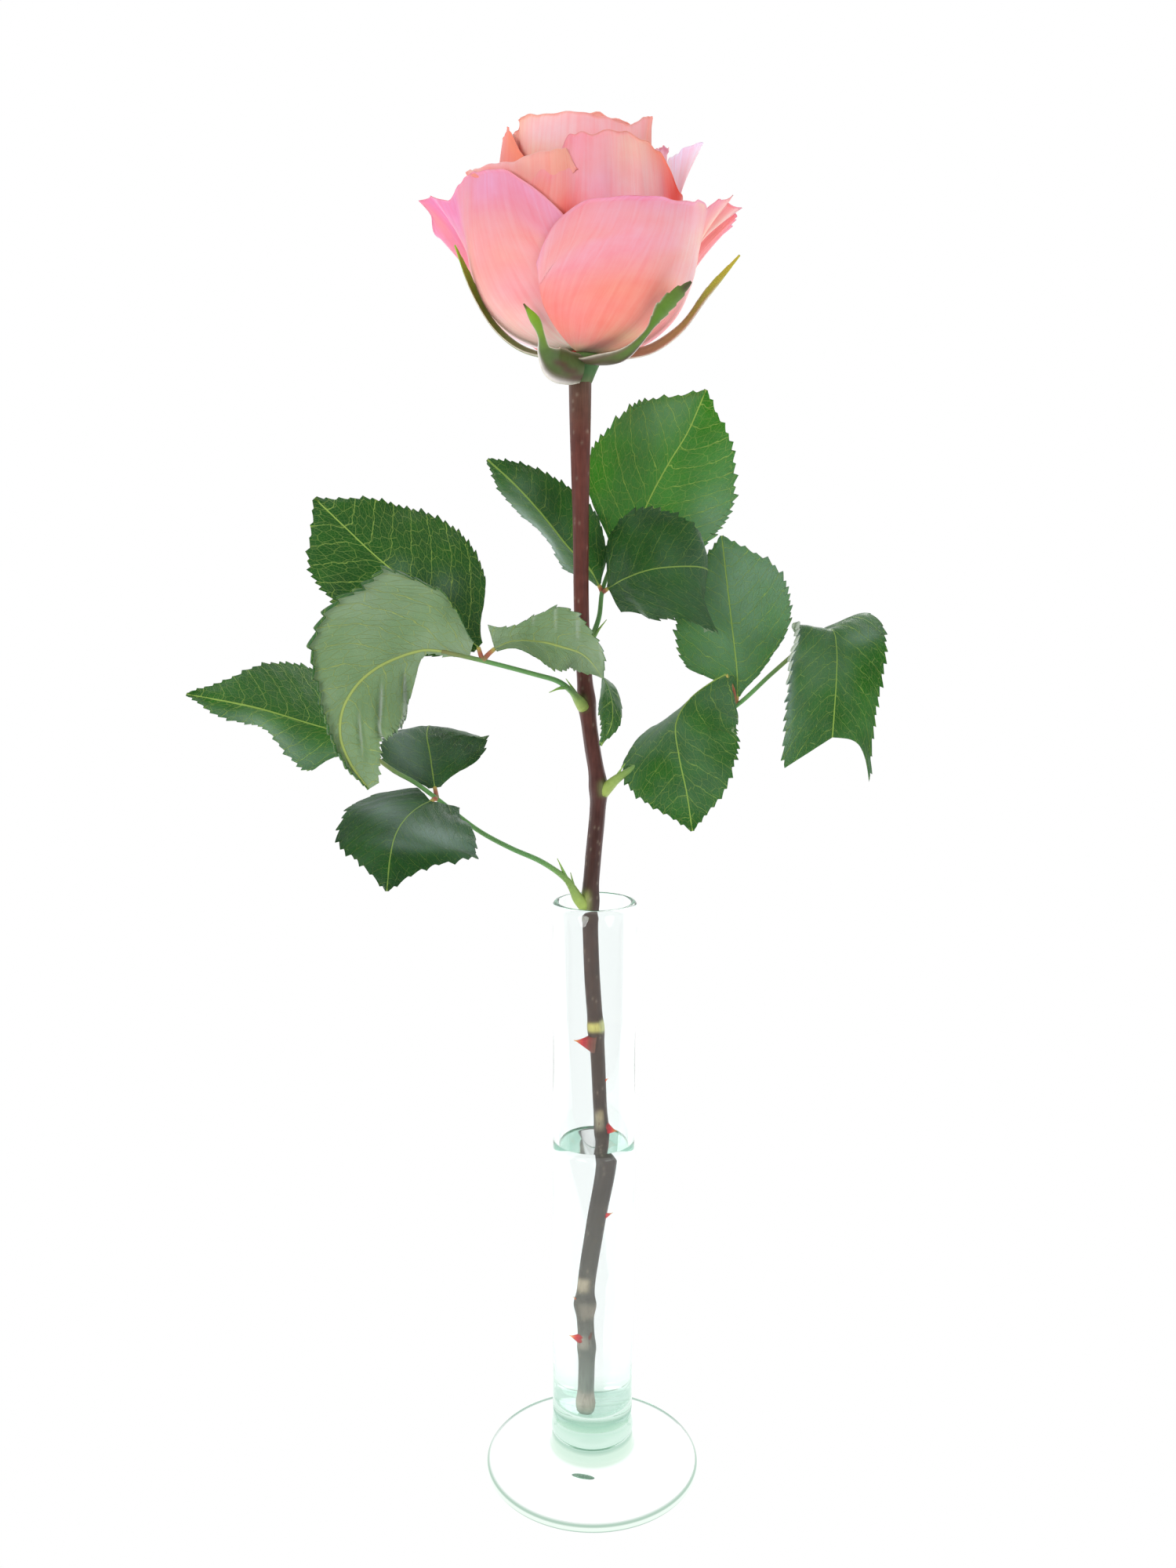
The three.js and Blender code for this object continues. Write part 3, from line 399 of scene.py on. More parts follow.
def stemTube(s):
    # a tube whose radius swells at each node in a bell curve, with long low ridges and small lenticels
    t = np.linspace(0, 1, s["rings"])
    place, tangent, _ = pathThrough(s["line"], t)
    z = place[:, 2]
    radius = along(s["radii"], (z - s["foot"]) / (s["top"] - s["foot"]))
    for at, swell, reach in s["nodes"]:
        radius = radius + swell * np.exp(-(((z - at) / reach) ** 2))
    angle = np.linspace(0, 2 * np.pi, s["sides"], endpoint=False)
    ridges = 0.05 * np.sin(5 * angle[None] + 0.05 * z[:, None]) + 0.03 * np.sin(11 * angle[None] - 0.09 * z[:, None])
    spots = draw.uniform([0, 0], [1, 2 * np.pi], (s["lenticels"], 2))
    lenticel = np.zeros((len(z), s["sides"]))
    for height, turn in spots:
        rise = (z[:, None] - s["foot"] - height * s["lenticelRun"]) / 0.5
        swing = np.angle(np.exp(1j * (angle[None] - turn))) / 0.12
        lenticel = np.maximum(lenticel, np.exp(-(rise**2 + swing**2)))
    flat = 1 - 0.2 * smooth(s["foot"] + 1.2 - z, 0, 1.2)
    part = tubeOf(place, tangent, (radius[:, None] * flat[:, None] + ridges + 0.05 * lenticel), s["sides"])
    heights = np.array([at for at, _ in s["bark"]])
    shades = np.array([linear(shade)[:3] for _, shade in s["bark"]])
    tint = np.stack([np.interp(z, heights, shades[:, k]) for k in range(3)], -1)[:, None] * np.ones((1, s["sides"], 1))
    outer = part["points"][:-2].reshape(len(z), s["sides"], 3) - place[:, None]
    azimuth = np.degrees(np.arctan2(outer[..., 0], -outer[..., 1]))
    for at, turn, tall, wide, shade, strength in s["patches"]:
        off = (azimuth - turn + 180) % 360 - 180
        tint = laid(tint, shade, strength * np.exp(-(((z[:, None] - at) / tall) ** 4) - (off / wide) ** 4))
    part["tint"] = withEnds(opaque(laid(tint, "#a89a86", 0.3 * lenticel)))
    return outward(part)


def thornCone(s, rings=24, sides=20):
    # a flat-sided prickle: a cone that narrows fast at first, deeper up the stem than across it, bowed downward
    t = np.linspace(0, 1, rings)
    start, end = np.array(s["from"], float), np.array(s["to"], float)
    way = unit(end - start)
    sag = np.array([0, 0, 0.5]) * (4 * t * (1 - t))[:, None] * 0.6
    place = start + (end - start) * t[:, None] - sag
    radius = s["radius"] * np.maximum((1 - t) ** 1.3, 0.04)
    angle = np.linspace(0, 2 * np.pi, sides, endpoint=False)
    grown = radius[:, None] * (0.62 + 0.5 * np.abs(np.sin(angle))[None])
    part = tubeOf(place, np.broadcast_to(way, place.shape), grown, sides, reference=np.cross(way, (0, 0, 1)))
    shade = shadesAlong(["#5d4034", "#7d332c", "#b23430", "#c08a4a"], t)
    part["tint"] = withEnds(np.repeat(opaque(shade), sides, axis=0))
    return outward(part)


def barkMaterial():
    # young rose bark: smooth waxy skin with fine long fibres and a dull sheen
    material, add = newMaterial("roseBark")
    place = add("TexCoord")
    tint = add("Attribute", attribute_name="tint")
    stretch = add("Mapping", {"Vector": place.outputs["Object"], "Scale": (1800, 1800, 160)})
    fibre = add("TexNoise", {"Vector": stretch, "Scale": 1.0, "Detail": 3.0})
    cloud = add("TexNoise", {"Vector": place.outputs["Object"], "Scale": 260.0, "Detail": 4.0})
    both = add("Math", {0: fibre, 1: cloud}, operation="ADD")
    shade = add("MapRange", {"Value": both, "From Min": 0.7, "From Max": 1.35, "To Min": 0.72, "To Max": 1.28})
    colour = add("VectorMath", {0: tint, 1: shade}, operation="MULTIPLY")
    rough = add("MapRange", {"Value": cloud, "To Min": 0.35, "To Max": 0.6})
    bump = add("Bump", {"Height": both, "Strength": 0.25, "Distance": 0.0002})
    skin = add("BsdfPrincipled", {"Base Color": colour, "Roughness": rough, "Normal": bump, "Specular IOR Level": 0.35})
    add("OutputMaterial", {"Surface": skin})
    return material


thorns = [thornCone(thorn) for thorn in stemSet["thorns"]]
makePiece("stemBark", [stemTube(stemSet), *thorns], [barkMaterial()], "stem")


# ---- leaves

def bladeMaterial(name, s):
    # leaf skin: net veins on a green ground. The map holds the place along the side veins, in vein spacings,
    # and the place across, in units of 7 mm. Light from behind shines through the blade.
    # The attribute tone runs from 0, a dark bluish leaflet, to 1, a bright one. In tint, red is how far the veins stand
    # out, green how much painted sheen lies on the place, and blue how strongly the leaflet is clouded with painted
    # sheen.
    material, add = newMaterial(name)
    surface = add("UVMap", uv_map="surface")
    place = add("TexCoord")
    tone = add("Attribute", attribute_name="tone")
    axes = add("SeparateXYZ", {"Vector": surface})
    across = add("Math", {0: axes.outputs["Y"]}, operation="ABSOLUTE")
    warp = add("TexNoise", {"Vector": surface, "Scale": 2.4, "Detail": 3.0})
    bent = add("Math", {0: warp, 1: 0.34, 2: axes.outputs["X"]}, operation="MULTIPLY_ADD")
    sideVein = add("Math", {0: bent, 1: 0.5}, operation="PINGPONG")
    # real side veins are 0.3 mm wide, the midrib 0.8 mm, the net 0.15 mm: drawn a little wider, so that they show
    side = add("MapRange", {"Value": sideVein, "From Min": 0.006, "From Max": 0.032, "To Min": 0.75, "To Max": 0.0},
               interpolation_type="SMOOTHSTEP")
    rib = add("MapRange", {"Value": across, "From Min": s["rib"] * 0.5, "From Max": s["rib"], "To Min": 1.0,
                           "To Max": 0.0}, interpolation_type="SMOOTHSTEP")
    cells = add("TexVoronoi", {"Vector": surface, "Scale": 2.6, "Randomness": 0.9}, feature="DISTANCE_TO_EDGE",
                voronoi_dimensions="2D")
    net = add("MapRange", {"Value": cells, "From Min": 0.0, "From Max": 0.05, "To Min": 0.55, "To Max": 0.0},
              interpolation_type="SMOOTHSTEP")
    smallCells = add("TexVoronoi", {"Vector": surface, "Scale": 7.5, "Randomness": 0.9}, feature="DISTANCE_TO_EDGE",
                     voronoi_dimensions="2D")
    fine = add("MapRange", {"Value": smallCells, "From Min": 0.0, "From Max": 0.12, "To Min": 0.2, "To Max": 0.0})
    small = add("Math", {0: net, 1: fine}, operation="MAXIMUM")
    branches = add("Math", {0: side, 1: small}, operation="MAXIMUM")
    spots = add("Attribute", attribute_name="tint")
    shares = add("SeparateColor", {"Color": spots})
    seen = add("Math", {0: branches, 1: shares.outputs["Red"]}, operation="MULTIPLY")
    ribShare = add("MapRange", {"Value": shares.outputs["Red"], "To Min": 0.4, "To Max": 0.95})
    ribSeen = add("Math", {0: rib, 1: ribShare}, operation="MULTIPLY")
    veins = add("Math", {0: ribSeen, 1: seen}, operation="MAXIMUM")
    cloud = add("TexNoise", {"Vector": place.outputs["Object"], "Scale": 110.0, "Detail": 4.0})
    mixed = add("Math", {0: cloud, 1: 0.6, 2: tone.outputs["Fac"]}, operation="MULTIPLY_ADD")
    share = add("MapRange", {"Value": mixed, "From Min": 0.25, "From Max": 1.3})
    ground = add("Mix", {"Factor": share, "A": linear(s["dark"]), "B": linear(s["bright"])}, data_type="RGBA")
    # painted sheen: a bluish-white sheen laid into the colour in broad clouds
    broad = add("TexNoise", {"Vector": place.outputs["Object"], "Scale": 42.0, "Detail": 2.0})
    patch = add("MapRange", {"Value": broad, "From Min": 0.36, "From Max": 0.68, "To Min": 0.0, "To Max": s["paintedSheen"]},
                interpolation_type="SMOOTHSTEP")
    paintedSheen = add("Math", {0: patch, 1: shares.outputs["Blue"], 2: shares.outputs["Green"]}, operation="MULTIPLY_ADD",
              use_clamp=True)
    sheened = add("Mix", {"Factor": paintedSheen, "A": ground, "B": linear(s["sheenShade"])}, data_type="RGBA")
    lit = add("Mix", {"Factor": veins, "A": sheened, "B": linear(s["vein"])}, data_type="RGBA")
    relief = add("Math", {0: branches, 1: rib}, operation="MAXIMUM")
    bump = add("Bump", {"Height": relief, "Strength": 0.7, "Distance": 0.0004}, invert=s["sunk"])
    gloss = add("MapRange", {"Value": cloud, "To Min": s["roughness"] - 0.08, "To Max": s["roughness"] + 0.1})
    skin = add("BsdfPrincipled", {"Base Color": lit, "Roughness": gloss, "Normal": bump,
                                  "Specular IOR Level": s["shine"]})
    through = add("Mix", {"Factor": share, "A": linear(s["dark"]), "B": linear(s["through"])}, data_type="RGBA")
    glow = add("Mix", {"Factor": veins, "A": through, "B": linear(s["vein"])}, data_type="RGBA")
    light = add("BsdfTranslucent", {"Color": glow})
    both = add("MixShader", {"Fac": 0.3, 1: skin, 2: light})
    add("OutputMaterial", {"Surface": both})
    return material


def stalkMaterial(name):
    # young green skin of stalks and sepals: smooth, satin, its painted colour lightly clouded
    material, add = newMaterial(name)
    tint = add("Attribute", attribute_name="tint")
    place = add("TexCoord")
    cloud = add("TexNoise", {"Vector": place.outputs["Object"], "Scale": 500.0, "Detail": 3.0})
    shade = add("MapRange", {"Value": cloud, "To Min": 0.8, "To Max": 1.2})
    colour = add("VectorMath", {0: tint, 1: shade}, operation="MULTIPLY")
    skin = add("BsdfPrincipled", {"Base Color": colour, "Roughness": 0.5, "Specular IOR Level": 0.25})
    add("OutputMaterial", {"Surface": skin})
    return material


# spacing of the teeth; slant and bow of the side veins, and the swelling between them; the sway of a blade; the width
# of a rolled margin; the unit of the map
leafletSet = {"tooth": 2.3, "slant": 0.72, "bow": 0.011, "quilt": 0.24, "sway": 0.55, "rolled": 2.4, "unit": 7}


def leafletShell(s, rows=190, columns=34):
    # A blade on a midrib: rows run along the rib, columns out to each margin, which is sawn in forward teeth.
    # Across, it leaves the rib at the angle fold, bends on by curl over the half, and rolls by roll at its margin.
    g = leafletSet
    t = np.linspace(0, 1, rows)
    place, tangent, up, aside, length = ribFrame(s, t)
    phase = t * np.floor(length / g["tooth"]) + 0.25 * np.sin(t * 17 + length)
    saw = (phase % 1) ** 1.3
    uneven = 1 + 0.35 * np.sin(np.floor(phase) * 2.7 + length)
    ends = smooth(t, 0.02, 0.12) * (1 - smooth(t, 0.97, 1))
    out = 1 - (1 - np.linspace(0, 1, columns + 1)) ** 1.3
    halves, across, forward, crestSheen = [], [], [], []
    for key, sign in (("left", -1), ("right", 1)):
        half = s[key]
        widths = np.maximum(along(half["widths"], t), 0.3)
        at, near, lift = half.get("corner", (0.5, 0.1, 0))
        widths = widths + lift * np.maximum(0, 1 - np.abs(t - at) / near)
        tooth = (0.035 * widths + 0.55) * saw * uneven * ends
        reach = widths[:, None] * 0.98 * out + tooth[:, None] * smooth(out, 0.88, 1)
        fold, curl, roll = (np.radians(along(half.get(name, plain), t))[:, None]
                            for name, plain in (("fold", [4, 4]), ("curl", [12, 18]), ("roll", [0, 0])))
        edge = reach[:, -1:]
        angle = fold + curl * reach / max(half["widths"]) + roll * smooth(reach, edge - g["rolled"], edge)
        step = np.diff(reach, axis=1)
        middle = (angle[:, 1:] + angle[:, :-1]) / 2
        side = np.pad(np.cumsum(step * np.cos(middle), axis=1), ((0, 0), (1, 0)))
        drop = np.pad(np.cumsum(step * np.sin(middle), axis=1), ((0, 0), (1, 0)))
        swing = np.sin(t[:, None] * 15 + sign * 2 + length) + 0.6 * np.sin(t[:, None] * 31 + reach * 0.12 + length)
        ripple = g["sway"] * smooth(out, 0.3, 1) * swing * ends[:, None]
        run = (t[:, None] * length - g["slant"] * reach - g["bow"] * reach**2) / length * s.get("pairs", 8.5)
        run = run + 0.3 * sign * smooth(reach, 0, 3)
        quilt = g["quilt"] * (1 - 2 * np.abs(run % 1 - 0.5)) * smooth(out, 0, 0.2) * (1 - smooth(out, 0.75, 1))
        deep, wide = half.get("pleats", (0, 6))
        worldX = place[:, :1] + aside[:, :1] * sign * side
        fluting = np.sin(2 * np.pi * worldX / wide + 0.6 * np.sin(worldX)) * smooth(reach, 1, 9)
        # the pleats' crests get a painted sheen
        crestSheen.append(0.7 * min(1, deep) * smooth(fluting, 0.2, 1))
        swept = along(half.get("sweep", [0, 0]), t)[:, None] * out ** half.get("sweepPower", 1)
        lean = swept + 0.7 * (tooth * saw)[:, None] * smooth(out, 0.88, 1)
        points = (place[:, None] + aside[:, None] * (sign * side)[..., None] + tangent[:, None] * lean[..., None]
                  + up[:, None] * (ripple + quilt + deep * fluting - drop)[..., None])
        halves.append(points)
        across.append(sign * reach / g["unit"])
        forward.append(run)

    def joined(pair):
        # the left half, turned round, then the right half without a second midrib
        return np.concatenate([pair[0][:, :0:-1], pair[1]], 1)

    grid, acrossAll = joined(halves), joined(across)
    rib = 0.55 * (1 - 0.7 * t[:, None]) * np.exp(-((acrossAll * g["unit"] / 0.5) ** 2))
    thin = 0.14 * smooth(np.abs(np.linspace(-1, 1, grid.shape[1])), 0.6, 1)[None]
    part = shellOf(grid, 0.4 - thin + rib, up[:, None])
    uv = np.stack([joined(forward) + 20 * s["seed"], acrossAll], -1).reshape(-1, 2)
    part["uv"] = np.concatenate([uv, uv])
    part["tone"] = np.full(len(part["points"]), s["tone"], float)
    flat = out * np.ones((rows, 1))
    spread = joined([-flat, flat])
    paintedSheen = joined(crestSheen)
    # spots of painted sheen laid over the leaflet
    for x, y, tall, broad, strength in s.get("paintedSheen", []):
        paintedSheen = paintedSheen + strength * np.exp(-(((t[:, None] - x) / tall) ** 2) - ((spread - y) / broad) ** 2)
    full = np.ones(paintedSheen.shape)
    tint = opaque(np.stack([full * s.get("veins", 0.9), np.clip(paintedSheen, 0, 1), full * s.get("sheenClouding", 1)], -1))
    part["tint"] = np.concatenate([tint, tint])
    return outward(part)


def stalkTube(points, radii, shades, sides=14, steps=60):
    # a thin tapering tube, coloured from one end to the other
    t = np.linspace(0, 1, steps)
    place, tangent, _ = pathThrough(points, t)
    part = tubeOf(place, tangent, along(radii, t), sides)
    part["tint"] = withEnds(np.repeat(opaque(shadesAlong(shades, t)), sides, axis=0))
    part["side"] = 2
    part["tone"] = np.zeros(len(part["points"]))
    part["uv"] = np.zeros((len(part["points"]), 2))
    return outward(part)


def makeLeaf(name, s):
    # stalk with a swollen foot, stipule points, leaflet stalks, and three leaflets
    green, red, brown = "#5f8a4f", "#9a5a44", "#7a7a4c"
    radii = [2.1, 1.05, 0.85, 0.78, 0.74, 0.72, 0.7, 0.66]
    parts = [stalkTube(s["stalk"], radii, ["#8fa050", green, green, green, brown])]
    parts += [stalkTube([a, (np.array(a) + b) / 2 + (0, 0, 0.3), b], [0.85, 0.4, 0.12], [green, "#8fb052"], steps=16)
              for a, b in s["stipules"]]
    parts += [stalkTube(points, [0.8, 0.72, 0.66], [brown, red, "#a9a052"], steps=20) for points in s["stalklets"]]
    parts += [leafletShell(one) for one in s["leaflets"]]
    makePiece(name, parts, [leafUpperSide, leafUnderside, leafStalk], s["node"])


# upper side: waxy skin, dark and glossy, its veins sunk; underside: matt and pale, its veins raised; both carry a
# painted sheen in broad clouds
leafUpperSide = bladeMaterial("leafUpperSide", {
    "paintedSheen": 0.13, "sheenShade": "#a9c0b8", "dark": "#0f3a18", "bright": "#368019", "vein": "#a6c45e",
    "through": "#4fa012", "rib": 0.04, "roughness": 0.33, "shine": 0.4, "sunk": True})
leafUnderside = bladeMaterial("leafUnderside", {
    "paintedSheen": 0.2, "sheenShade": "#d2ddcf", "dark": "#688a5e", "bright": "#9ab888", "vein": "#b3c268",
    "through": "#86b24c", "rib": 0.08, "roughness": 0.5, "shine": 0.4, "sunk": False})
leafStalk = stalkMaterial("leafStalk")

# Each leaf: its stalk's path, stipules from and to, leaflet stalks, and leaflets. A leaflet has its midrib's path,
# the way its upper side faces, and two halves with widths from base to tip; fold, curl and roll are in degrees,
# sweep shifts the margin forward, a corner is a point on the margin, pleats are ridges (depth, spacing), and a spot
# of painted sheen is its place along and across, half sizes and strength.
leafSets = {
    "leafUpper": {
        "node": "leaf_upper",
        "stalk": [(-3, 9, 279.6), (-1, 12, 285), (1, 16, 291), (2, 20, 299), (4, 22.5, 305), (6, 24, 310)],
        "stipules": [((-1.4, 11.6, 283.5), (3.4, 13, 290))],
        "stalklets": [[(2, 20, 298.5), (1.6, 20, 299.5), (0.8, 19.7, 301)],
                      [(2, 20, 298.5), (3, 19, 299.2), (4, 18, 300)]],
        "leaflets": [
            {"seed": 1, "tone": 0.9, "veins": 1, "sheenClouding": 0.5,
             "paintedSheen": [(0.4, 0.85, 0.22, 0.35, 0.3), (0.8, -0.6, 0.2, 0.5, 0.22)],
             "rib": [(6, 24, 310), (14, 27, 322), (19, 28.5, 332), (24, 28.5, 341), (29.5, 26.5, 350), (35, 22, 363)],
             "face": [(0.2, -1, 0.15), (0.1, -1, 0.2), (0, -1, 0.3)],
             "left": {"widths": [1, 17.5, 24.5, 23, 17.5, 0.5]},
             "right": {"widths": [1, 20.5, 26.5, 25.5, 14.5, 0.5], "curl": [14, 30]}},
            {"seed": 2, "tone": 0.35, "veins": 0.5, "paintedSheen": [(0.4, -0.9, 0.3, 0.25, 0.6), (0.75, 0.1, 0.1, 0.5, 0.08)],
             "rib": [(0.8, 19.7, 301), (-2, 18.4, 306), (-8.5, 16.6, 312.5), (-18, 15, 324), (-26, 13, 332.5),
                     (-34.5, 10, 340)],
             "face": [(0.2, -1, 0.1), (0.2, -1, 0.3)],
             "left": {"widths": [1, 8.5, 7, 8, 6.5, 0.5], "fold": [40, 66, 62, 48], "curl": [10, 10]},
             "right": {"widths": [1, 12.5, 15.5, 12.5, 8, 0.5]}},
            {"seed": 3, "tone": 0.2, "veins": 0.45, "sheenClouding": 0.6,
             "rib": [(4, 18, 300), (9, 13, 303), (17, 7.5, 306), (25, 4.5, 307), (31.5, 4, 307), (35, 7.5, 306),
                     (34, 13.5, 304)],
             "face": [(0, -1, 0.1), (0.1, -1, 0.1), (0.6, -1, 0), (1, 0.2, 0)],
             "left": {"widths": [1, 14, 19.5, 18, 12, 0.5], "fold": [0, 5], "sweep": [0, -2, -4, -5, -3, 0]},
             "right": {"widths": [9, 15.5, 18, 21, 18, 0.5], "fold": [0, 5], "sweep": [0, 3, 8, 10, 6, 0]}},
        ],
    },
    "leafLeft": {
        "node": "leaf_left",
        "stalk": [(-4, 5, 262.6), (-5.6, 2.4, 265), (-8, -3, 268.5), (-12, -9, 272), (-19, -14, 274.5), (-34, -21, 279),
                  (-46, -24, 282)],
        "stipules": [((-9, -6, 270), (-14.5, -10, 268.5)), ((-5.8, 1, 266), (-9.5, -0.5, 272))],
        "stalklets": [[(-34, -21, 279), (-34.6, -21, 280.5), (-35.4, -20.6, 283)],
                      [(-34, -21, 279), (-32.5, -21, 280.8), (-30.5, -20.4, 282.6)]],
        "leaflets": [
            {"seed": 4, "tone": 0.4, "veins": 0.9, "pairs": 10,
             "rib": [(-38, -22.2, 280), (-46, -24, 282), (-51, -26, 282.4), (-58, -28, 280.5), (-65, -30, 277),
                     (-70.5, -31, 272), (-74.5, -31, 265), (-75.5, -30, 257), (-73, -29, 249), (-68, -28.5, 241)],
             "face": [(0.1, 1, 0.2), (0, 1, 0.1), (0, 1, 0), (-0.3, 1, 0)],
             "left": {"widths": [6, 14.3, 22.6, 24.5, 24.6, 19.5, 10, 5, 3.5, 2.5, 0.5], "corner": (0.26, 0.07, 4.5),
                      "fold": [0, 0], "curl": [16, 24], "roll": [60, 120, 150, 150, 150, 100]},
             "right": {"widths": [0.5, 1, 2, 10, 16, 18.5, 18.5, 16, 12, 9, 4], "fold": [6, 10], "curl": [10, 40],
                       "pleats": (1.3, 6.5)}},
            {"seed": 5, "tone": 0.4, "veins": 0.8, "pairs": 9,
             "rib": [(-30.5, -20.4, 282.6), (-25, -18.6, 284.6), (-17, -16, 284.4), (-10, -14, 282.8),
                     (-4, -12.5, 280.6), (1, -11, 275), (4.5, -10, 266.5), (4.6, -9.6, 259), (1.4, -9.4, 252)],
             "face": [(-0.1, 1, 0.3), (0.2, 1, 0.3), (0.7, 0.5, 0.6), (1, -0.6, 0.2), (0.8, -1, 0)],
             "left": {"widths": [2, 6, 8, 9.5, 7.5, 0.5], "fold": [80, 60, 16, 10, 10, 10], "curl": [10, 10]},
             "right": {"widths": [8, 4.5, 9, 14, 13.5, 9, 7.5, 7, 6, 4, 0.5], "fold": [0, 0], "curl": [10, 10],
                       "pleats": (0.4, 7)}},
            {"seed": 6, "tone": 0.3, "veins": 1, "sheenClouding": 0,
             "paintedSheen": [(0.3, 0.35, 0.07, 0.2, 0.16), (0.5, 0.1, 0.06, 0.15, 0.12)],
             "rib": [(-35.4, -20.6, 283), (-42, -18, 288), (-51, -15.5, 296), (-60, -13.5, 304), (-69, -11.5, 311.6),
                     (-76, -9.5, 318), (-86, -6, 327)],
             "face": [(0.1, -1, 0.2), (0, -1, 0.4)],
             "left": {"widths": [2, 15, 21, 19, 16, 1]},
             "right": {"widths": [2, 17.5, 23.5, 21.5, 13.5, 1]}},
        ],
    },
    "leafRight": {
        "node": "leaf_right",
        "stalk": [(2.6, 7, 234.6), (4.6, 5.6, 237), (7, 3.5, 239.6), (14, 5, 244), (28, 9, 253), (45, 11.5, 262),
                  (57, 14, 272.5), (66, 15.6, 280.2), (70, 16, 283)],
        "stipules": [((5.4, 4.6, 237.6), (9.5, 3, 244.6))],
        "stalklets": [[(45, 11.5, 262), (44.6, 11.4, 267), (42, 10.4, 272.6)],
                      [(45, 11.5, 262), (45.6, 12, 263.4), (46, 12.4, 265.4)]],
        "leaflets": [
            {"seed": 7, "tone": 0.4, "veins": 0.7, "paintedSheen": [(0.35, 0.6, 0.15, 0.4, 0.12)],
             "rib": [(42, 10.4, 272.6), (37, 8.6, 270), (30, 4.6, 265), (25.6, 1.4, 257.6), (26.6, -0.4, 247),
                     (29, -1.4, 236), (31, -2, 223.6)],
             "face": [(-0.4, -0.5, 0.8), (-0.5, -0.8, 0.6), (0, -1, 0.1), (0, -1, 0)],
             "left": {"widths": [2, 13.5, 18.5, 19.5, 13, 0.5], "fold": [50, 30, 6, 4], "curl": [10, 10],
                      "sweep": [-2, -6, -2, 0, 0, 0]},
             "right": {"widths": [3, 10, 16, 19.5, 13.5, 0.5], "fold": [60, 40, 8, 4], "curl": [14, 10]}},
            {"seed": 8, "tone": 0.8, "veins": 0.8, "paintedSheen": [(0.78, 0.1, 0.3, 1.2, 0.36), (0.35, 0, 0.3, 1.2, 0.2)],
             "rib": [(46, 12.4, 265.4), (46, 15, 273), (45, 17.8, 283), (43, 21, 300), (41, 24, 317)],
             "face": [(0.1, -1, 0.1), (0, -1, 0.2)],
             "left": {"widths": [1, 15, 18.5, 16, 10, 0.5]},
             "right": {"widths": [1, 10.5, 19.5, 21, 16.5, 0.5]}},
            {"seed": 9, "tone": 0.4, "veins": 0.7, "paintedSheen": [(0.4, 0.97, 0.35, 0.1, 0.9), (0.3, -0.6, 0.06, 0.4, 0.3)],
             "rib": [(70, 16, 283), (73.5, 14.6, 286.4), (76, 11, 286.6), (77, 8.6, 281), (77, 7, 272),
                     (76.5, 5.8, 262), (76, 5, 253)],
             "face": [(-0.5, -0.2, 1), (0, -0.2, 1), (0, -1, 0.5), (0, -1, 0.1), (0, -1, 0.1)],
             "right": {"widths": [2, 16, 19, 17, 15.5, 15], "fold": [10, -30, -12, 10], "curl": [10, 20],
                       "sweep": [0, -2, 0, 4, 11], "roll": [-150, -170, -150, -60, 0]},
             "left": {"widths": [2, 14, 15.5, 14, 14, 16], "fold": [10, -30, -12, 4], "curl": [10, 40],
                      "sweep": [0, -2, 0, 4, 14], "sweepPower": 4}},
        ],
    },
    "leafLower": {
        "node": "leaf_lower",
        "stalk": [(-3.4, 6.8, 196.6), (-5.6, 5, 199.6), (-7, 2.6, 203), (-9.4, 1, 207), (-17, -1, 213), (-27, -3, 218),
                  (-37, -5, 224), (-50, -6.5, 234.5), (-57, -5.5, 239.5), (-64, -3.5, 243), (-74, -0.5, 250)],
        "stipules": [((-9.2, 1.4, 206.6), (-12.2, 0, 214)), ((-6.4, 3.4, 201.4), (-8, 6, 208))],
        "stalklets": [[(-50, -6.5, 234.5), (-50.6, -7.6, 234.6), (-51.6, -9.4, 234)],
                      [(-50, -6.5, 234.5), (-50.4, -5, 235.8), (-51, -3, 237.5)]],
        "leaflets": [
            {"seed": 10, "tone": 0.45, "veins": 0.9, "sheenClouding": 0.1, "paintedSheen": [(0.45, -0.8, 0.5, 0.35, 0.25)],
             "rib": [(-74, -0.5, 250), (-81, 0, 254), (-92, 1, 257.5), (-107, 1.4, 262), (-117, 2, 264),
                     (-130.5, 4, 266)],
             "face": [(0.2, -0.8, 0.7), (0, -0.8, 0.7)],
             "left": {"widths": [4, 13.5, 12, 7, 5, 0.5], "fold": [0, 10, 50, 72, 36, 0], "curl": [10, 10]},
             "right": {"widths": [2, 18, 22.5, 20, 10.5, 0.5], "fold": [0, 0], "curl": [14, 14]}},
            {"seed": 11, "tone": 0.15, "veins": 0.4, "paintedSheen": [(0.4, -0.5, 0.3, 0.4, 0.2)],
             "rib": [(-51, -3, 237.5), (-52, 0, 242), (-53, 3, 247), (-54.5, 7.5, 252.6), (-54.5, 13, 255),
                     (-54, 21, 252.5), (-53, 28, 247)],
             "face": [(0, -0.9, 0.7), (0, -0.9, 0.7), (0, 0, 1), (0, 0.4, 1)],
             "left": {"widths": [2, 13, 15.5, 13, 9, 0.5]},
             "right": {"widths": [2, 15, 19.5, 16, 9, 0.5]}},
            {"seed": 12, "tone": 0.15, "veins": 0.3, "paintedSheen": [(0.42, -0.5, 0.12, 0.5, 0.5), (0.3, 0.4, 0.1, 0.4, 0.3),
                                                             (0.6, -0.2, 0.06, 0.4, 0.2)],
             "rib": [(-51.6, -9.4, 234), (-54.5, -13, 233), (-58, -19, 230.5), (-60.5, -25, 226.5), (-61.5, -30, 221),
                     (-62, -35, 211.5)],
             "face": [(0, -0.5, 1), (0, -0.7, 1), (0, -1, 0.6)],
             "left": {"widths": [8, 19, 24, 24.5, 10, 0.5], "curl": [10, 0], "sweep": [-5, -3.5, 0, 0, 0]},
             "right": {"widths": [11, 20, 21, 17.5, 8, 0.5], "sweep": [-5, -3.5, 0, 0, 0]}},
        ],
    },
}
for leafName, leafSet in leafSets.items():
    makeLeaf(leafName, leafSet)


# ---- hip and sepals

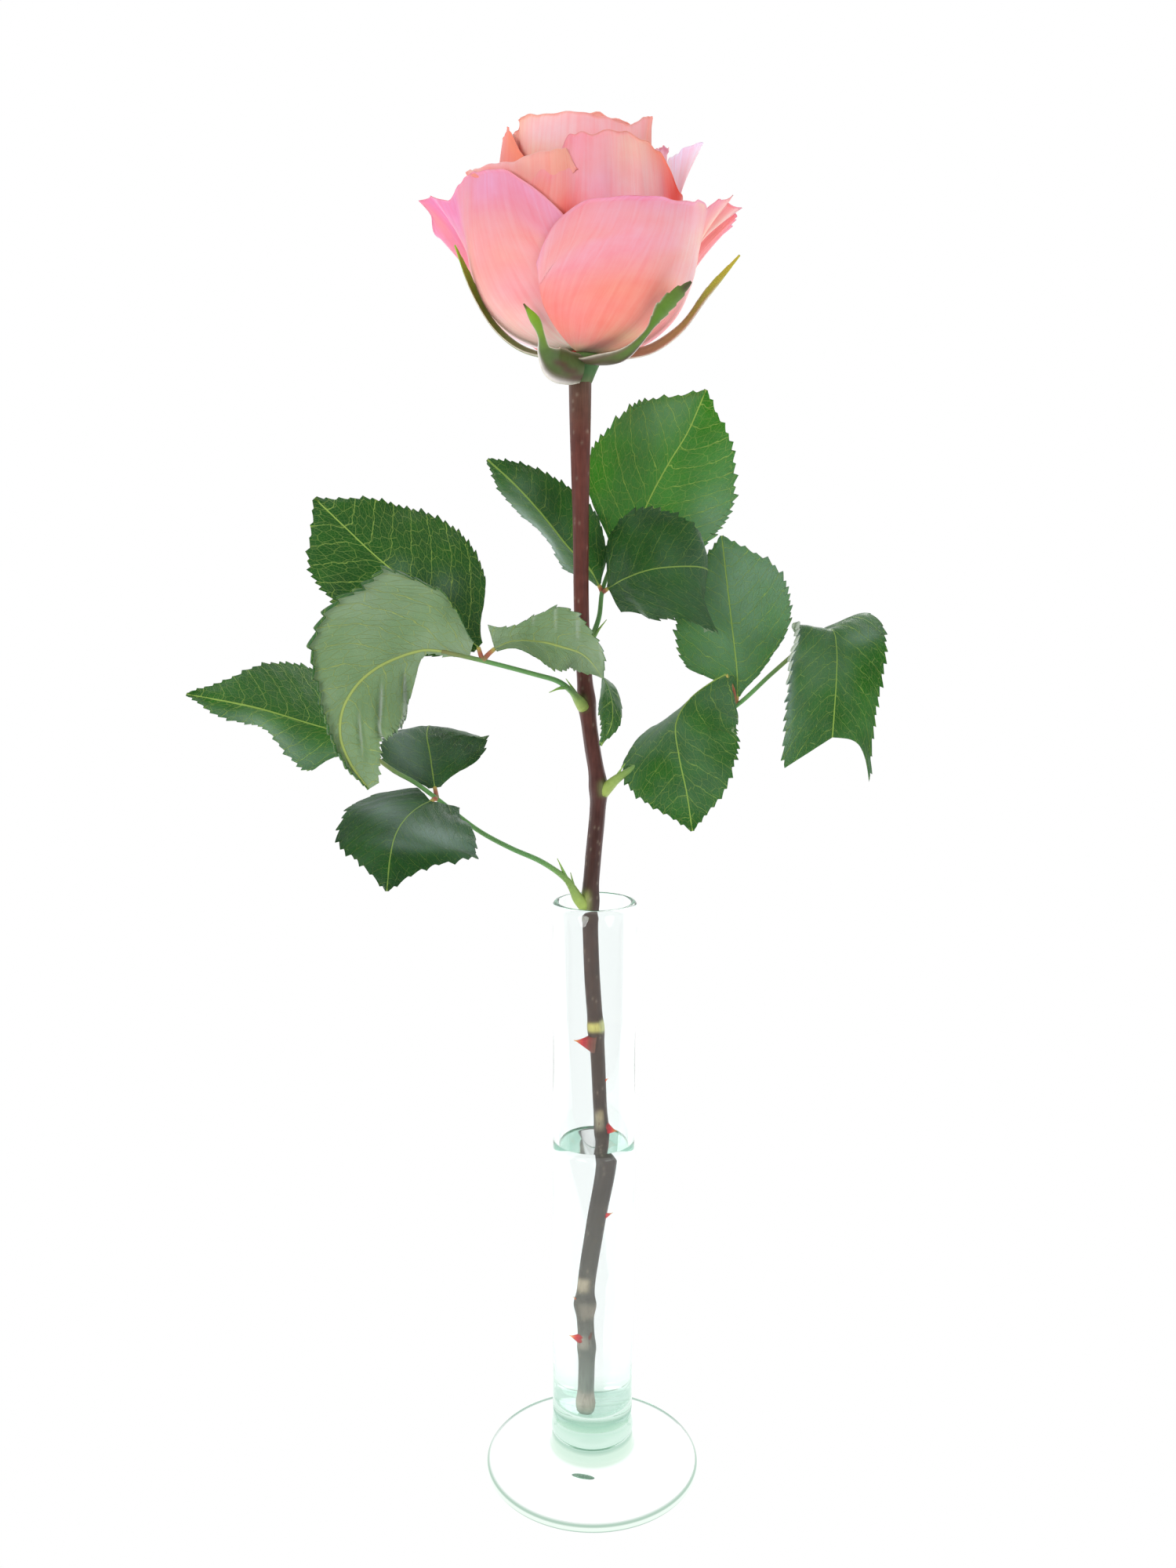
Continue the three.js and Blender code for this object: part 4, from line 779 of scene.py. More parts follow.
# A sepal's widths are half widths from base to tip; leafy is the share of saw teeth near the tip; flush is how purple
# its margins are; paint is a soft spot: place along and across, half sizes, shade, strength.
calyxSet = {
    "centre": (-5.3, 6.0), "foot": 362.6, "top": 371.3,
    "hip": [(0, 0), (3.3, 0), (3.7, 0.6), (4.1, 1.6), (4.6, 2.8), (5.4, 4.6), (6.3, 6.4), (6.9, 7.6), (7.1, 8.2),
            (6.6, 8.7), (0, 8.8)],
    "skin": ["#5d6a45", "#45693a", "#476e3a", "#6d8a50"],
    "sepals": [
        {"rib": [(-9, 4.4, 369), (-15, 3.4, 369.8), (-23.4, 2, 372), (-30.6, 1, 377.4), (-36.4, 0.2, 386),
                 (-43, 0, 402)],
         "face": [(0, -0.2, 1), (0.7, -0.5, 0.7), (0.9, -0.6, 0.1)], "widths": [2.8, 3, 2.5, 1.9, 1.7, 0.2],
         "leafy": 0.2,
         "flush": 0.25, "shades": ["#9a9a80", "#7f9052", "#7a9a3c", "#9cc238"]},
        {"rib": [(-4.2, -0.6, 366.2), (-9, -5.2, 366.2), (-13.2, -9.8, 367.2), (-15.8, -13, 369.8), (-16.6, -16, 373.2),
                 (-18, -18.6, 376.6), (-21.4, -21.5, 381.4)],
         "face": [(0.3, 1, 0.1), (0.4, 1, -0.1), (0.4, 1, -0.2), (0.5, 1, 0.2)],
         "widths": [4.2, 5, 5, 2.6, 1.2, 1.5, 0.2],
         "leafy": 0, "dish": 0.3, "flush": 0.15, "shades": ["#54633a", "#4f6234", "#506632", "#6c8c2a", "#78981c"],
         "paint": [(0.2, 0.75, 0.3, 0.3, "#54402f", 0.7), (0.4, 0.95, 0.3, 0.2, "#e6dedc", 0.95),
                   (0.06, 0.55, 0.1, 0.2, "#54342f", 0.8), (0.17, 0.2, 0.1, 0.2, "#54342f", 0.8),
                   (0.3, -0.05, 0.1, 0.2, "#54342f", 0.8), (1.0, 0, 0.05, 1, "#4a2c2c", 0.9)]},
        {"rib": [(-3.4, 2, 368.2), (1, -5, 367.2), (8, -12, 368.8), (13.6, -16, 373.6), (19, -18, 380.8),
                 (26.8, -17.4, 388.4)],
         "face": [(-0.2, 0.4, 1), (-0.4, 1, 0.8), (-0.4, 1, 0.3)],
         "widths": [4, 4.4, 3.7, 2.5, 1.4, 1.0, 2.1, 1.7, 0.4], "leafy": 0.7,
         "flush": 0.4, "shades": ["#5a5038", "#545c34", "#55702f", "#587a2c", "#5c6e34"],
         "paint": [(0.35, -0.75, 0.26, 0.4, "#54333c", 0.9), (0.2, 0, 0.12, 0.4, "#503430", 0.6),
                   (0.45, -0.95, 0.2, 0.2, "#e4dcda", 0.8), (0.97, 0, 0.05, 1, "#453430", 0.8)]},
        {"rib": [(-1, 5.4, 369.2), (8, 3, 370), (17, 1, 372), (25.4, 0.4, 378), (33, 0, 388), (42.5, 0, 399.5)],
         "face": [(0, -0.4, 1), (-0.7, -0.7, 0.7), (-0.8, -0.7, 0.3)], "widths": [2.6, 3.2, 2.8, 1.8, 1.7, 0.3],
         "leafy": 0.2,
         "flush": 0.2, "shades": ["#a8826a", "#b08c70", "#a8905c", "#9da03c", "#b4aa38"],
         "paint": [(0.45, 0.8, 0.3, 0.3, "#ecdcd6", 0.7)]},
        {"rib": [(-6, 10, 368.6), (-9, 20, 368.8), (-11, 32, 372.4), (-12.4, 40.5, 381), (-13, 44.5, 393)],
         "face": [(0, 0, 1), (0, -0.8, 0.7), (0, -1, 0.1)], "widths": [3.2, 4.2, 3.6, 2.2, 2.2, 0.3], "leafy": 0.6,
         "flush": 0.4, "shades": ["#7b8f58", "#6d8a50", "#7f9a54", "#9cc23c"]},
    ],
}


def sepalShell(s, rows=90, columns=17):
    # a tapering pointed blade, dished across by a share of its width, its margin pale and thin, toothed where leafy
    t = np.linspace(0, 1, rows)
    place, _, up, aside, _ = ribFrame(s, t)
    width = along(s["widths"], t) + s["leafy"] * 0.8 * ((t * 13) % 1) * smooth(t, 0.6, 0.75) * (1 - smooth(t, 0.95, 1))
    v = np.linspace(-1, 1, columns)
    dish = s.get("dish", 0.28) * width[:, None] * v**2
    grid = place[:, None] + aside[:, None] * (width[:, None] * v)[..., None] + up[:, None] * dish[..., None]
    part = shellOf(grid, 0.62 - 0.34 * v**2, up[:, None])
    shade = shadesAlong(s["shades"], t)[:, None] * np.ones((1, columns, 1))
    shade = laid(shade, "#7a5058", s["flush"] * smooth(np.abs(v), 0.45, 0.8) * (1 - smooth(t, 0.6, 0.9))[:, None])
    for x, y, tall, wide, spot, strength in s.get("paint", []):
        shade = laid(shade, spot, strength * np.exp(-(((t[:, None] - x) / tall) ** 4) - ((v - y) / wide) ** 2))
    shade = laid(shade, "#e2dccb", 0.75 * smooth(np.abs(v), 0.84, 0.97) * (1 - smooth(t, 0.7, 0.9))[:, None])
    part["tint"] = np.concatenate([opaque(shade), opaque(shade)])
    part["side"] = 0
    return outward(part)


def hipSolid(s):
    # a profile turned about the stem's axis, stretched to its height, coloured from foot to top
    rise = s["top"] - s["foot"]
    part = lathe([(r, s["foot"] + h * rise / s["hip"][-1][1]) for r, h in s["hip"]], 48)
    part["points"] = part["points"] + (*s["centre"], 0)
    part["tint"] = opaque(shadesAlong(s["skin"], (part["points"][:, 2] - s["foot"]) / rise))
    return outward(part)


calyxParts = [hipSolid(calyxSet)] + [sepalShell(one) for one in calyxSet["sepals"]]
makePiece("calyxSepals", calyxParts, [stalkMaterial("sepalSkin")], "calyx")
print("calyx ready")


# ---- bloom

# belly is the cup's greatest radius, nest how far up the innermost petals start, and cup the outline as radius and
# height; radian and unit set the scale of the petals' map
bloomSet = {
    "centre": (-5.3, 6.0), "base": 371.5, "belly": 35.1, "nest": 33.0, "radian": 57.3, "unit": 60,
    "cup": [(3, 0), (12.5, 0.9), (21.8, 4.4), (29, 11), (33.4, 20.5), (35.1, 30), (35.1, 38), (34, 46), (31.9, 54),
            (29.1, 61), (26, 68)],
    # deep is a darker coral, partly the petals' own colour and partly painted shade low in the bloom and under rolled
    # edges
    "shades": {"coral": "#fd9b8f", "pink": "#fab7bc", "mauve": "#f0a4c0", "magenta": "#e87fb8", "pale": "#fddedd",
               "peach": "#ffc0ae", "deep": "#fb6f60", "red": "#f24a3c", "cream": "#f6dfa8", "white": "#fdf2f1",
               "rust": "#e08f7c"},
}
cupSteps = np.linspace(0, 1, 400)
cupPlaces = pathThrough(bloomSet["cup"], cupSteps)[0]

# The petals whose edges show from the front, outermost first. A rim station is an azimuth (0 the front, 90 the right),
# the height of the rim, how far it leans out, then the length of the rolled edge beyond it and its turn in degrees.
# A tip is a pointed place on the rim: its place along it, half width, extra height, extra lean.
# Paint is a soft spot: place across and up the petal, half sizes, shade, strength; "in" marks the inner face.
facePetals = [
    {"ring": 35.1, "reach": 15,  # right, in front
     "rim": [(-22, 20, 0, 0.6, 10), (-12, 29, 0, 1, 20), (4, 35, 0.4, 1.4, 40), (24, 36.6, 0.6, 1.8, 60),
             (44, 37.5, 0.8, 1.6, 60), (62, 39.5, 1.2, 1.4, 40), (76, 41.5, 1.4, 1.2, 30), (86, 42, 3.5, 1, 20),
             (92, 45.5, 8.5, 1, 10), (96, 45, 12.5, 1, 0), (99.5, 41, 12, 1, 20), (102.5, 37.6, 9, 0.8, 30),
             (105, 34.6, 2, 0.6, 20), (109, 21, 0, 0.5, 0)],
     "tips": [(0.7, 0.022, 0.8, 3.4), (0.645, 0.02, 2.0, 1.2), (0.59, 0.02, 1.2, 0.8), (0.765, 0.014, 1.2, 1.6),
              (0.8, 0.012, 0.8, 1.4)],
     "creases": [(0.665, 0.637, 0.018, 1.5), (0.58, 0.555, 0.03, -0.9), (0.72, 0.71, 0.012, -1.6),
                 (0.69, 0.66, 0.01, -1.2), (0.745, 0.73, 0.01, 1.0), (0.28, 0.24, 0.05, 0.3)],
     "outer": ["cream", "coral", "coral", "pink", "pink", "mauve"], "inner": ["peach", "coral", "coral", "coral"],
     # the thin white streaks on the flare's fold crests are painted highlights
     "paint": [(0.46, 0.6, 0.13, 0.3, "pale", 0.65), (0.2, 0.5, 0.13, 0.35, "coral", 0.6),
               (0.33, 0.22, 0.1, 0.07, "cream", 0.6), (0.635, 0.72, 0.02, 0.3, "white", 0.95),
               (0.57, 0.45, 0.03, 0.4, "magenta", 0.3), (0.66, 0.95, 0.03, 0.05, "coral", 0.8),
               (0.74, 0.85, 0.05, 0.2, "deep", 0.6), (0.69, 0.8, 0.01, 0.15, "white", 0.8),
               (0.48, 0.92, 0.05, 0.04, "cream", 0.5)]},
    {"ring": 34.0, "reach": 17,  # left, in front
     "rim": [(-114, 20, 0, 0.6, 0), (-107, 30, 4, 1, 10), (-101, 37.5, 11, 1.6, 30), (-95, 46.6, 12.5, 1.2, 30),
             (-89, 44.6, 6.5, 1, 20), (-82, 46.4, 3.6, 1, 20), (-74, 47.9, 1.6, 1.2, 40), (-62, 47.6, 0.6, 1.4, 50),
             (-40, 45.4, 0.6, 1.2, 40), (-14, 35.5, 0, 1, 20), (10, 20, 0, 0.6, 0)],
     "tips": [(0.275, 0.03, 2.4, 4.4)],
     "creases": [(0.36, 0.33, 0.03, 0.9), (0.27, 0.27, 0.04, -1.0), (0.6, 0.55, 0.06, 0.3)],
     "outer": ["white", "pale", "pink", "pink", "mauve", "mauve"], "inner": ["peach", "coral", "coral", "coral"],
     # the thin white streaks along the ridge of the fold are painted highlights
     "paint": [(0.45, 0.55, 0.12, 0.2, "mauve", 0.5), (0.31, 0.72, 0.08, 0.3, "magenta", 0.8),
               (0.25, 0.88, 0.03, 0.08, "coral", 0.7), (0.36, 0.35, 0.025, 0.35, "white", 0.6),
               (0.33, 0.75, 0.02, 0.2, "white", 0.4), (0.75, 0.5, 0.2, 0.4, "coral", 0.4),
               (0.5, 0.2, 0.25, 0.2, "white", 0.5)]},
    {"ring": 31.4,  # crown
     "rim": [(-54, 33, 0, 0.5, 0), (-42, 42.5, 0, 0.5, 0), (-26, 45, 0, 0.5, 0), (-14, 47.6, 0.2, 0.6, 10),
             (-7, 53, 0.5, 0.8, 30), (3, 54.8, 0.8, 1.2, 50), (20, 54.6, 1, 1.4, 60), (36, 54.6, 1, 1.2, 50),
             (50, 50.6, 0.8, 1, 40), (62, 44.5, 0.3, 0.9, 30), (74, 38.5, 0, 0.8, 20), (86, 30, 0, 0.5, 0)],
     "ruffle": 0.75, "creases": [(0.5, 0.5, 0.018, 0.5), (0.6, 0.62, 0.02, 0.45), (0.7, 0.74, 0.02, -0.5),
                                 (0.42, 0.4, 0.02, -0.4)],
     "outer": ["coral", "coral", "coral", "pink", "pink", "pink"], "inner": ["peach", "coral", "coral", "coral"],
     # the deep spot under the rolled edge is painted shadow
     "paint": [(0.5, 0.72, 0.06, 0.2, "mauve", 0.5), (0.62, 0.75, 0.08, 0.3, "pale", 0.5),
               (0.8, 0.85, 0.08, 0.6, "red", 1), (0.72, 0.95, 0.05, 0.1, "coral", 0.7),
               (0.6, 1.0, 0.2, 0.02, "rust", 0.6), (0.2, 0.7, 0.2, 0.3, "coral", 0.9),
               (0.36, 0.62, 0.1, 0.12, "deep", 0.8)]},
    {"ring": 30.1, "reach": 7, "bendShare": 0.36, "drift": 3, "line": 0.05,  # rolled edge
     "rim": [(-120, 42, 0, 1, 20), (-106, 50, 3.6, 1.4, 40), (-94, 53, 4.4, 1.6, 70), (-76, 51.4, 3.4, 2.4, 110),
             (-56, 49.6, 2, 4.6, 160), (-38, 48.6, 1.4, 9, 178), (-22, 49.2, 1.2, 12, 184), (-11, 50, 1, 12.5, 186),
             (-6, 49.2, 0.6, 6, 180), (-4, 45, -0.6, 1.2, 120), (0, 38, -1.2, 0.4, 0)],
     "outer": ["deep", "coral", "coral", "coral", "peach", "peach"],
     "inner": ["deep", "deep", "coral", "peach", "peach", "coral"],
     "paint": [(0.35, 0.92, 0.2, 0.05, "pale", 0.5, "in"), (0.7, 0.95, 0.3, 0.1, "pink", 0.6, "in"),
               (0.88, 0.95, 0.06, 0.06, "coral", 0.7, "in")]},
    {"ring": 28.8, "reach": 17,  # point at the right
     "rim": [(40, 42, 0, 0.5, 0), (54, 48, 0, 0.6, 10), (64, 52.5, 1.2, 0.8, 10), (72, 56, 3.6, 0.8, 0),
             (80, 56.5, 5.4, 0.8, 0), (90, 53.5, 3.6, 0.8, 20), (104, 51, 2.4, 1, 30), (122, 44, 0, 0.5, 0)],
     "tips": [(0.53, 0.13, 3.4, 4.6)], "creases": [(0.5, 0.5, 0.04, 0.7)],
     "outer": ["coral", "coral", "pink", "mauve", "pale", "white"],
     "inner": ["deep", "coral", "coral", "pink", "pink", "white"]},
    {"ring": 25.2,  # strip at the left
     "rim": [(-124, 50, 0, 0.6, 10), (-108, 58, 0.4, 0.8, 20), (-94, 60.6, 0.4, 0.8, 20), (-80, 61, 0, 0.8, 20),
             (-64, 62, 0, 0.6, 10), (-42, 52, 0, 0.5, 0)],
     "outer": ["deep", "coral", "coral", "coral", "coral", "coral"], "inner": ["deep", "coral", "coral", "coral"]},
    {"ring": 22.4, "lean": 0.6, "ruffle": 0.25,  # top
     "rim": [(-60, 48, 0, 0.4, 0), (-56, 61.4, 1.4, 0.8, 20), (-50, 63.2, 2.0, 1.2, 60), (-34, 63, 1.4, 1, 40),
             (-8, 62.4, 1.2, 1, 30), (16, 61.6, 1.4, 1, 30), (36, 60.4, 1.6, 1, 30), (50, 63, 2.8, 1, 30),
             (60, 63.6, 3.2, 1, 30), (70, 52, 0.6, 0.6, 10)],
     "tips": [(0.085, 0.02, 1.2, 2.2), (0.885, 0.03, 1.2, 1.0)],
     "outer": ["deep", "coral", "coral", "peach", "peach", "peach"],
     "inner": ["deep", "coral", "peach", "peach", "pale"],
     "paint": [(0.8, 0.9, 0.15, 0.1, "pink", 0.5), (0.35, 0.85, 0.3, 0.1, "pale", 0.5)]},
]
# The rest follow a rule: ring, azimuths from and to, height, lean, then length and turn of the rolled edge.
ruledPetals = [
    (33.8, 103, 174, 40, 2, 3, 60), (35.1, 132, 226, 41, 5, 3.5, 90), (32.6, 192, 272, 42.5, 5, 4, 80),
    (31.4, 124, 216, 50, 5, 4, 80),
    (28.6, 190, 274, 53.5, 3, 3, 60), (26, 48, 136, 57, 1, 1.6, 40), (27.3, 120, 214, 59.5, 3, 2.6, 60),
    (23.5, 178, 290, 61, 2, 2, 50), (22, -50, 76, 61, 1.2, 1.6, 40), (20.4, 60, 180, 62, 1.2, 1.6, 50),
    (18.8, 164, 322, 62, 1.2, 1.6, 50), (17.4, -70, 34, 61.8, 0.8, 1.4, 40), (16.2, 0, 140, 62, 0.6, 1.4, 40),
    (14, 124, 290, 62, 0.6, 1.2, 40), (12.4, -60, 60, 61.6, 0.6, 1.2, 30), (11, 30, 190, 61.6, 0.6, 1.2, 30),
    (9.4, 150, 320, 61.2, 0.4, 1, 30), (7.8, -70, 120, 60.8, 0.4, 1, 20), (6.2, 90, 290, 60, 0.3, 1, 10),
    (4.4, -90, 170, 59, 0.2, 1, 0),
]


def petalShell(s, rows=46, rollRows=14, columns=110):
    # At each place along the rim a line climbs the cup, leans out near the top, and rolls on through an arc.
    # Creases are ridges a few mm wide that run up the petal; the rim is ruffled by two unequal waves.
    g = bloomSet
    ring = s["ring"]
    scale = ring / g["belly"]
    start = (1 - scale) * g["nest"]
    v = np.linspace(0, 1, columns)
    azimuth, edge, out, roll, turn = along(s["rim"], v).T
    for at, half, lift, push in s.get("tips", []):
        cusp = np.maximum(0, 1 - np.abs(v - at) / half) ** 1.5
        edge, out = edge + lift * cusp, out + push * cusp
    middling = smooth(v, 0.04, 0.18) * (1 - smooth(v, 0.82, 0.96))
    edge = edge + s.get("ruffle", 0.3) * (np.sin(v * 37 + ring) + 0.6 * np.sin(v * 89 + 2 * ring)) * middling
    u = np.linspace(0, 1, rows)[:, None]
    atRim = np.interp(edge - start, cupPlaces[:, 1], cupSteps)
    shared = np.minimum(u * 0.78, atRim)
    share = shared + (atRim * u - shared) * smooth(u, 0.3, 1)
    radius = np.interp(share, cupSteps, cupPlaces[:, 0]) * scale
    height = np.interp(share, cupSteps, cupPlaces[:, 1])
    turned = np.maximum(0, 1 - (edge - start - height) / s.get("reach", 13)) ** 1.4
    radius = radius + out * turned - s.get("lean", 0) * smooth(u, 0.3, 1)
    height = height - 0.1 * out * turned
    slope = unit(np.stack([radius[-1] - radius[-2], height[-1] - height[-2]], -1))
    q = np.linspace(0, 1, rollRows + 1)[1:, None]
    bend = np.radians(turn) * smooth(q, 0, s.get("bendShare", 1.0))
    outGoes = (slope[:, 0] * np.cos(bend) + slope[:, 1] * np.sin(bend)) * roll / rollRows
    upGoes = (slope[:, 1] * np.cos(bend) - slope[:, 0] * np.sin(bend)) * roll / rollRows
    radius = np.concatenate([radius, radius[-1] + np.cumsum(outGoes, axis=0)])
    height = np.concatenate([height, height[-1] + np.cumsum(upGoes, axis=0)])
    rest = np.concatenate([u * 0.9, 0.9 + 0.1 * q])
    slow = 0.35 * np.sin(v * 9 + ring) + 0.2 * np.sin(v * 21 + 2 * ring + 3 * rest)
    quick = 0.4 * s.get("ruffle", 0.3) * np.sin(v * 61 + ring)
    radius = radius + slow * smooth(rest, 0.2, 0.7) + quick * smooth(rest, 0.75, 1)
    for low, high, half, lift in s.get("creases", []):
        line = low + (high - low) * rest
        radius = radius + lift * np.exp(-(((v - line) / half) ** 2)) * smooth(rest, 0.3, 0.85)
    radius = np.maximum(radius, 0.3)
    middle = (azimuth[0] + azimuth[-1]) / 2
    angle = middle + (azimuth - middle) * (0.84 + 0.16 * smooth(rest, 0, 0.4))
    angle = np.radians(angle + s.get("drift", 0) * smooth(rest, 0.9, 1) * smooth(v, 0.6, 0.8))
    x, y = g["centre"]
    grid = np.stack([x + radius * np.sin(angle), y - radius * np.cos(angle), g["base"] + start + height], -1)
    outwardWay = np.stack([np.sin(angle), -np.cos(angle), 0 * angle], -1)
    part = shellOf(grid, 0.5 - 0.26 * smooth(rest, 0.5, 1), outwardWay * (rest < 0.7)[..., None])
    across = np.broadcast_to(v, angle.shape)
    rest = np.broadcast_to(rest, angle.shape)
    part["tint"] = np.concatenate([paintPetal(s, key, across, rest) for key in ("outer", "inner")])
    width = (azimuth[-1] - azimuth[0]) / g["radian"] * ring / g["unit"]
    uv = np.stack([(across - 0.5) * width * (0.55 + 0.45 * rest) + ring, rest], -1).reshape(-1, 2)
    part["uv"] = np.concatenate([uv, uv])
    return outward(part)


def paintPetal(s, key, across, rest):
    # a run of shades from base to rim, soft round spots laid over it, a creamy base, and a thin darker line at the rim
    shades = bloomSet["shades"]
    tint = shadesAlong([shades[name] for name in s[key]], rest)
    for x, y, wide, tall, name, strength, *inside in s.get("paint", []):
        if bool(inside) == (key == "inner"):
            tint = laid(tint, shades[name], strength * np.exp(-(((across - x) / wide) ** 2) - ((rest - y) / tall) ** 2))
    tint = laid(tint, shades["cream"], 0.45 * (1 - smooth(rest, 0.04, 0.16)))
    line = s.get("line", 0.25) * smooth(rest, 0.95, 1) * (0.6 + 0.4 * np.sin(across * 47 + s["ring"]))
    return opaque(laid(tint, shades["rust"], line))


def petalMaterial(name, roughness):
    # petal skin: velvety, clouded pink and coral, with fine veins that fan out from the base; light shines through
    material, add = newMaterial(name)
    tint = add("Attribute", attribute_name="tint")
    surface = add("UVMap", uv_map="surface")
    fan = add("Mapping", {"Vector": surface, "Scale": (62, 2.6, 1)})  # veins 1 mm apart
    veins = add("TexNoise", {"Vector": fan, "Scale": 1.0, "Detail": 4.0, "Roughness": 0.6, "Distortion": 0.9})
    cloud = add("TexNoise", {"Vector": surface, "Scale": 6.0, "Detail": 5.0, "Roughness": 0.6})
    wide = add("TexNoise", {"Vector": surface, "Scale": 2.6, "Detail": 2.0})
    both = add("Math", {0: veins, 1: cloud}, operation="ADD")
    green = add("MapRange", {"Value": both, "From Min": 0.7, "From Max": 1.3, "To Min": 0.8, "To Max": 1.14})
    blue = add("MapRange", {"Value": wide, "From Min": 0.3, "From Max": 0.7, "To Min": 0.76, "To Max": 1.22})
    power = add("CombineXYZ", {"X": 1.0, "Y": green, "Z": green})
    cool = add("CombineXYZ", {"X": 1.0, "Y": 1.0, "Z": blue})
    veined = add("VectorMath", {0: tint, 1: power}, operation="MULTIPLY")
    colour = add("VectorMath", {0: veined, 1: cool}, operation="MULTIPLY")
    bump = add("Bump", {"Height": both, "Strength": 0.35, "Distance": 0.0003})
    skin = add("BsdfPrincipled", {"Base Color": colour, "Roughness": roughness, "Normal": bump,
                                  "Specular IOR Level": 0.35, "Sheen Weight": 0.25, "Sheen Roughness": 0.4})
    light = add("BsdfTranslucent", {"Color": colour})
    mixed = add("MixShader", {"Fac": 0.25, 1: skin, 2: light})
    add("OutputMaterial", {"Surface": mixed})
    return material


def ruledPetal(ring, start, end, height, lean, roll, turn):
    # a petal by rule: round-shouldered, lowest at its sides, a small point at the middle of its rim
    stations = [(0, -8, 0), (0.08, -3.5, 0.4), (0.25, -0.8, 0.8), (0.5, 0, 1), (0.75, -0.8, 0.8), (0.92, -3.5, 0.4),
                (1, -8, 0)]
    rim = [(start + (end - start) * part, height + drop, lean * share, 0.5 + roll * share, turn * share)
           for part, drop, share in stations]
    heart = ring < 24
    lean, point = (1.6, 0.8) if heart else (0, 1.6)
    outer = ["cream", "coral", "coral", *["peach"] * 3] if heart else ["coral", "coral", *["pink"] * 3, "mauve"]
    return {"ring": ring, "rim": rim, "lean": lean, "tips": [(0.5, 0.05, point, 0.6)],
            "outer": outer, "inner": ["peach", "deep", "coral", "peach"]}


petalSkins = [petalMaterial("petalOuterFace", 0.55), petalMaterial("petalInnerFace", 0.65)]
rules = [ruledPetal(*rule) for rule in ruledPetals]
coarse = {"rows": 28, "rollRows": 8, "columns": 60}
for pieceName, petals, grain in (
        ("bloomFront", facePetals, {}), ("bloomOuter", rules[:7], coarse), ("bloomHeart", rules[7:], coarse)):
    makePiece(pieceName, [petalShell(one, **grain) for one in petals], petalSkins, "bloom")


# ---- studio: floor, light, camera

# sky brightness behind the object and on the camera's side, plain and through glass; glow of the table, its edges and
# where its mirror image dims, in metres, and its lift in mm; lamps with place, size in metres and power in watts
studioSet = {
    "lens": 31.32, "camera": (-2.4, -430.0, 308.0), "pitch": 9.2, "roll": 0.24, "bounces": 240,
    "rear": 1.0, "front": 0.25, "glassRear": 1.14, "glassFront": 0.28,
    "table": 0.8, "nearEdge": -0.25, "farEdge": 6.0, "dimming": (-0.06, -0.045), "contact": 0.03,
    "aim": (0, 0, 0.3),
    "lamps": [("keyLamp", (-0.9, -1.3, 0.4), 0.9, 15.2), ("fillLamp", (1.2, -1.2, 0.4), 0.9, 9.2),
              ("topLamp", (0.1, 0.35, 1.35), 0.6, 1.0), ("backLamp", (0.6, 1.3, 1.2), 1.2, 12.0)],
}


def lightTable(s):
    # a wide flat sheet of opal acrylic, lit from below: plain white to the eye, a softer light for what stands on it
    mesh = bpy.data.meshes.new("lightTable")
    near, far, lift = s["nearEdge"], s["farEdge"], s["contact"] * mm
    mesh.from_pydata([(-far, near, lift), (far, near, lift), (far, far, lift), (-far, far, lift)], [], [(0, 1, 2, 3)])
    table = bpy.data.objects.new("lightTable", mesh)
    bpy.context.collection.objects.link(table)
    material, add = newMaterial("opalAcrylic")
    sheet = add("BsdfPrincipled", {"Base Color": linear("#f4f4f3"), "Roughness": 0.6, "Emission Color": (1, 1, 1, 1),
                                   "Emission Strength": s["table"]})
    path = add("LightPath")
    seen = add("Math", {0: path.outputs["Is Camera Ray"], 1: path.outputs["Is Singular Ray"]}, operation="MAXIMUM")
    ground = add("TexCoord")
    axes = add("SeparateXYZ", {"Vector": ground.outputs["Object"]})
    mirrored = add("MapRange", {"Value": axes.outputs["Y"], "From Min": s["dimming"][0], "From Max": s["dimming"][1],
                                "To Min": s["glassFront"], "To Max": s["glassRear"]})
    # light that has gone right through both walls sees the table evenly lit
    passed = add("MapRange", {"Value": path.outputs["Transmission Depth"], "From Min": 3.0, "From Max": 4.0,
                              "To Min": mirrored, "To Max": s["glassRear"]})
    power = add("MapRange", {"Value": path.outputs["Is Camera Ray"], "To Min": passed, "To Max": 1.0})
    plain = add("Emission", {"Color": (1, 1, 1, 1), "Strength": power})
    both = add("MixShader", {"Fac": seen, 1: sheet, 2: plain})
    add("OutputMaterial", {"Surface": both})
    mesh.materials.append(material)


def softLamp(name, place, aim, size, power):
    # a soft round white lamp; those in front are kept out of reflections, as crossed filters would
    lamp = bpy.data.lights.new(name, "AREA")
    lamp.shape, lamp.size, lamp.energy = "DISK", size, power
    body = bpy.data.objects.new(name, lamp)
    body.location = place
    body.rotation_euler = (Vector(aim) - Vector(place)).to_track_quat("-Z", "Y").to_euler()
    body.visible_glossy = place[1] > 0
    bpy.context.collection.objects.link(body)


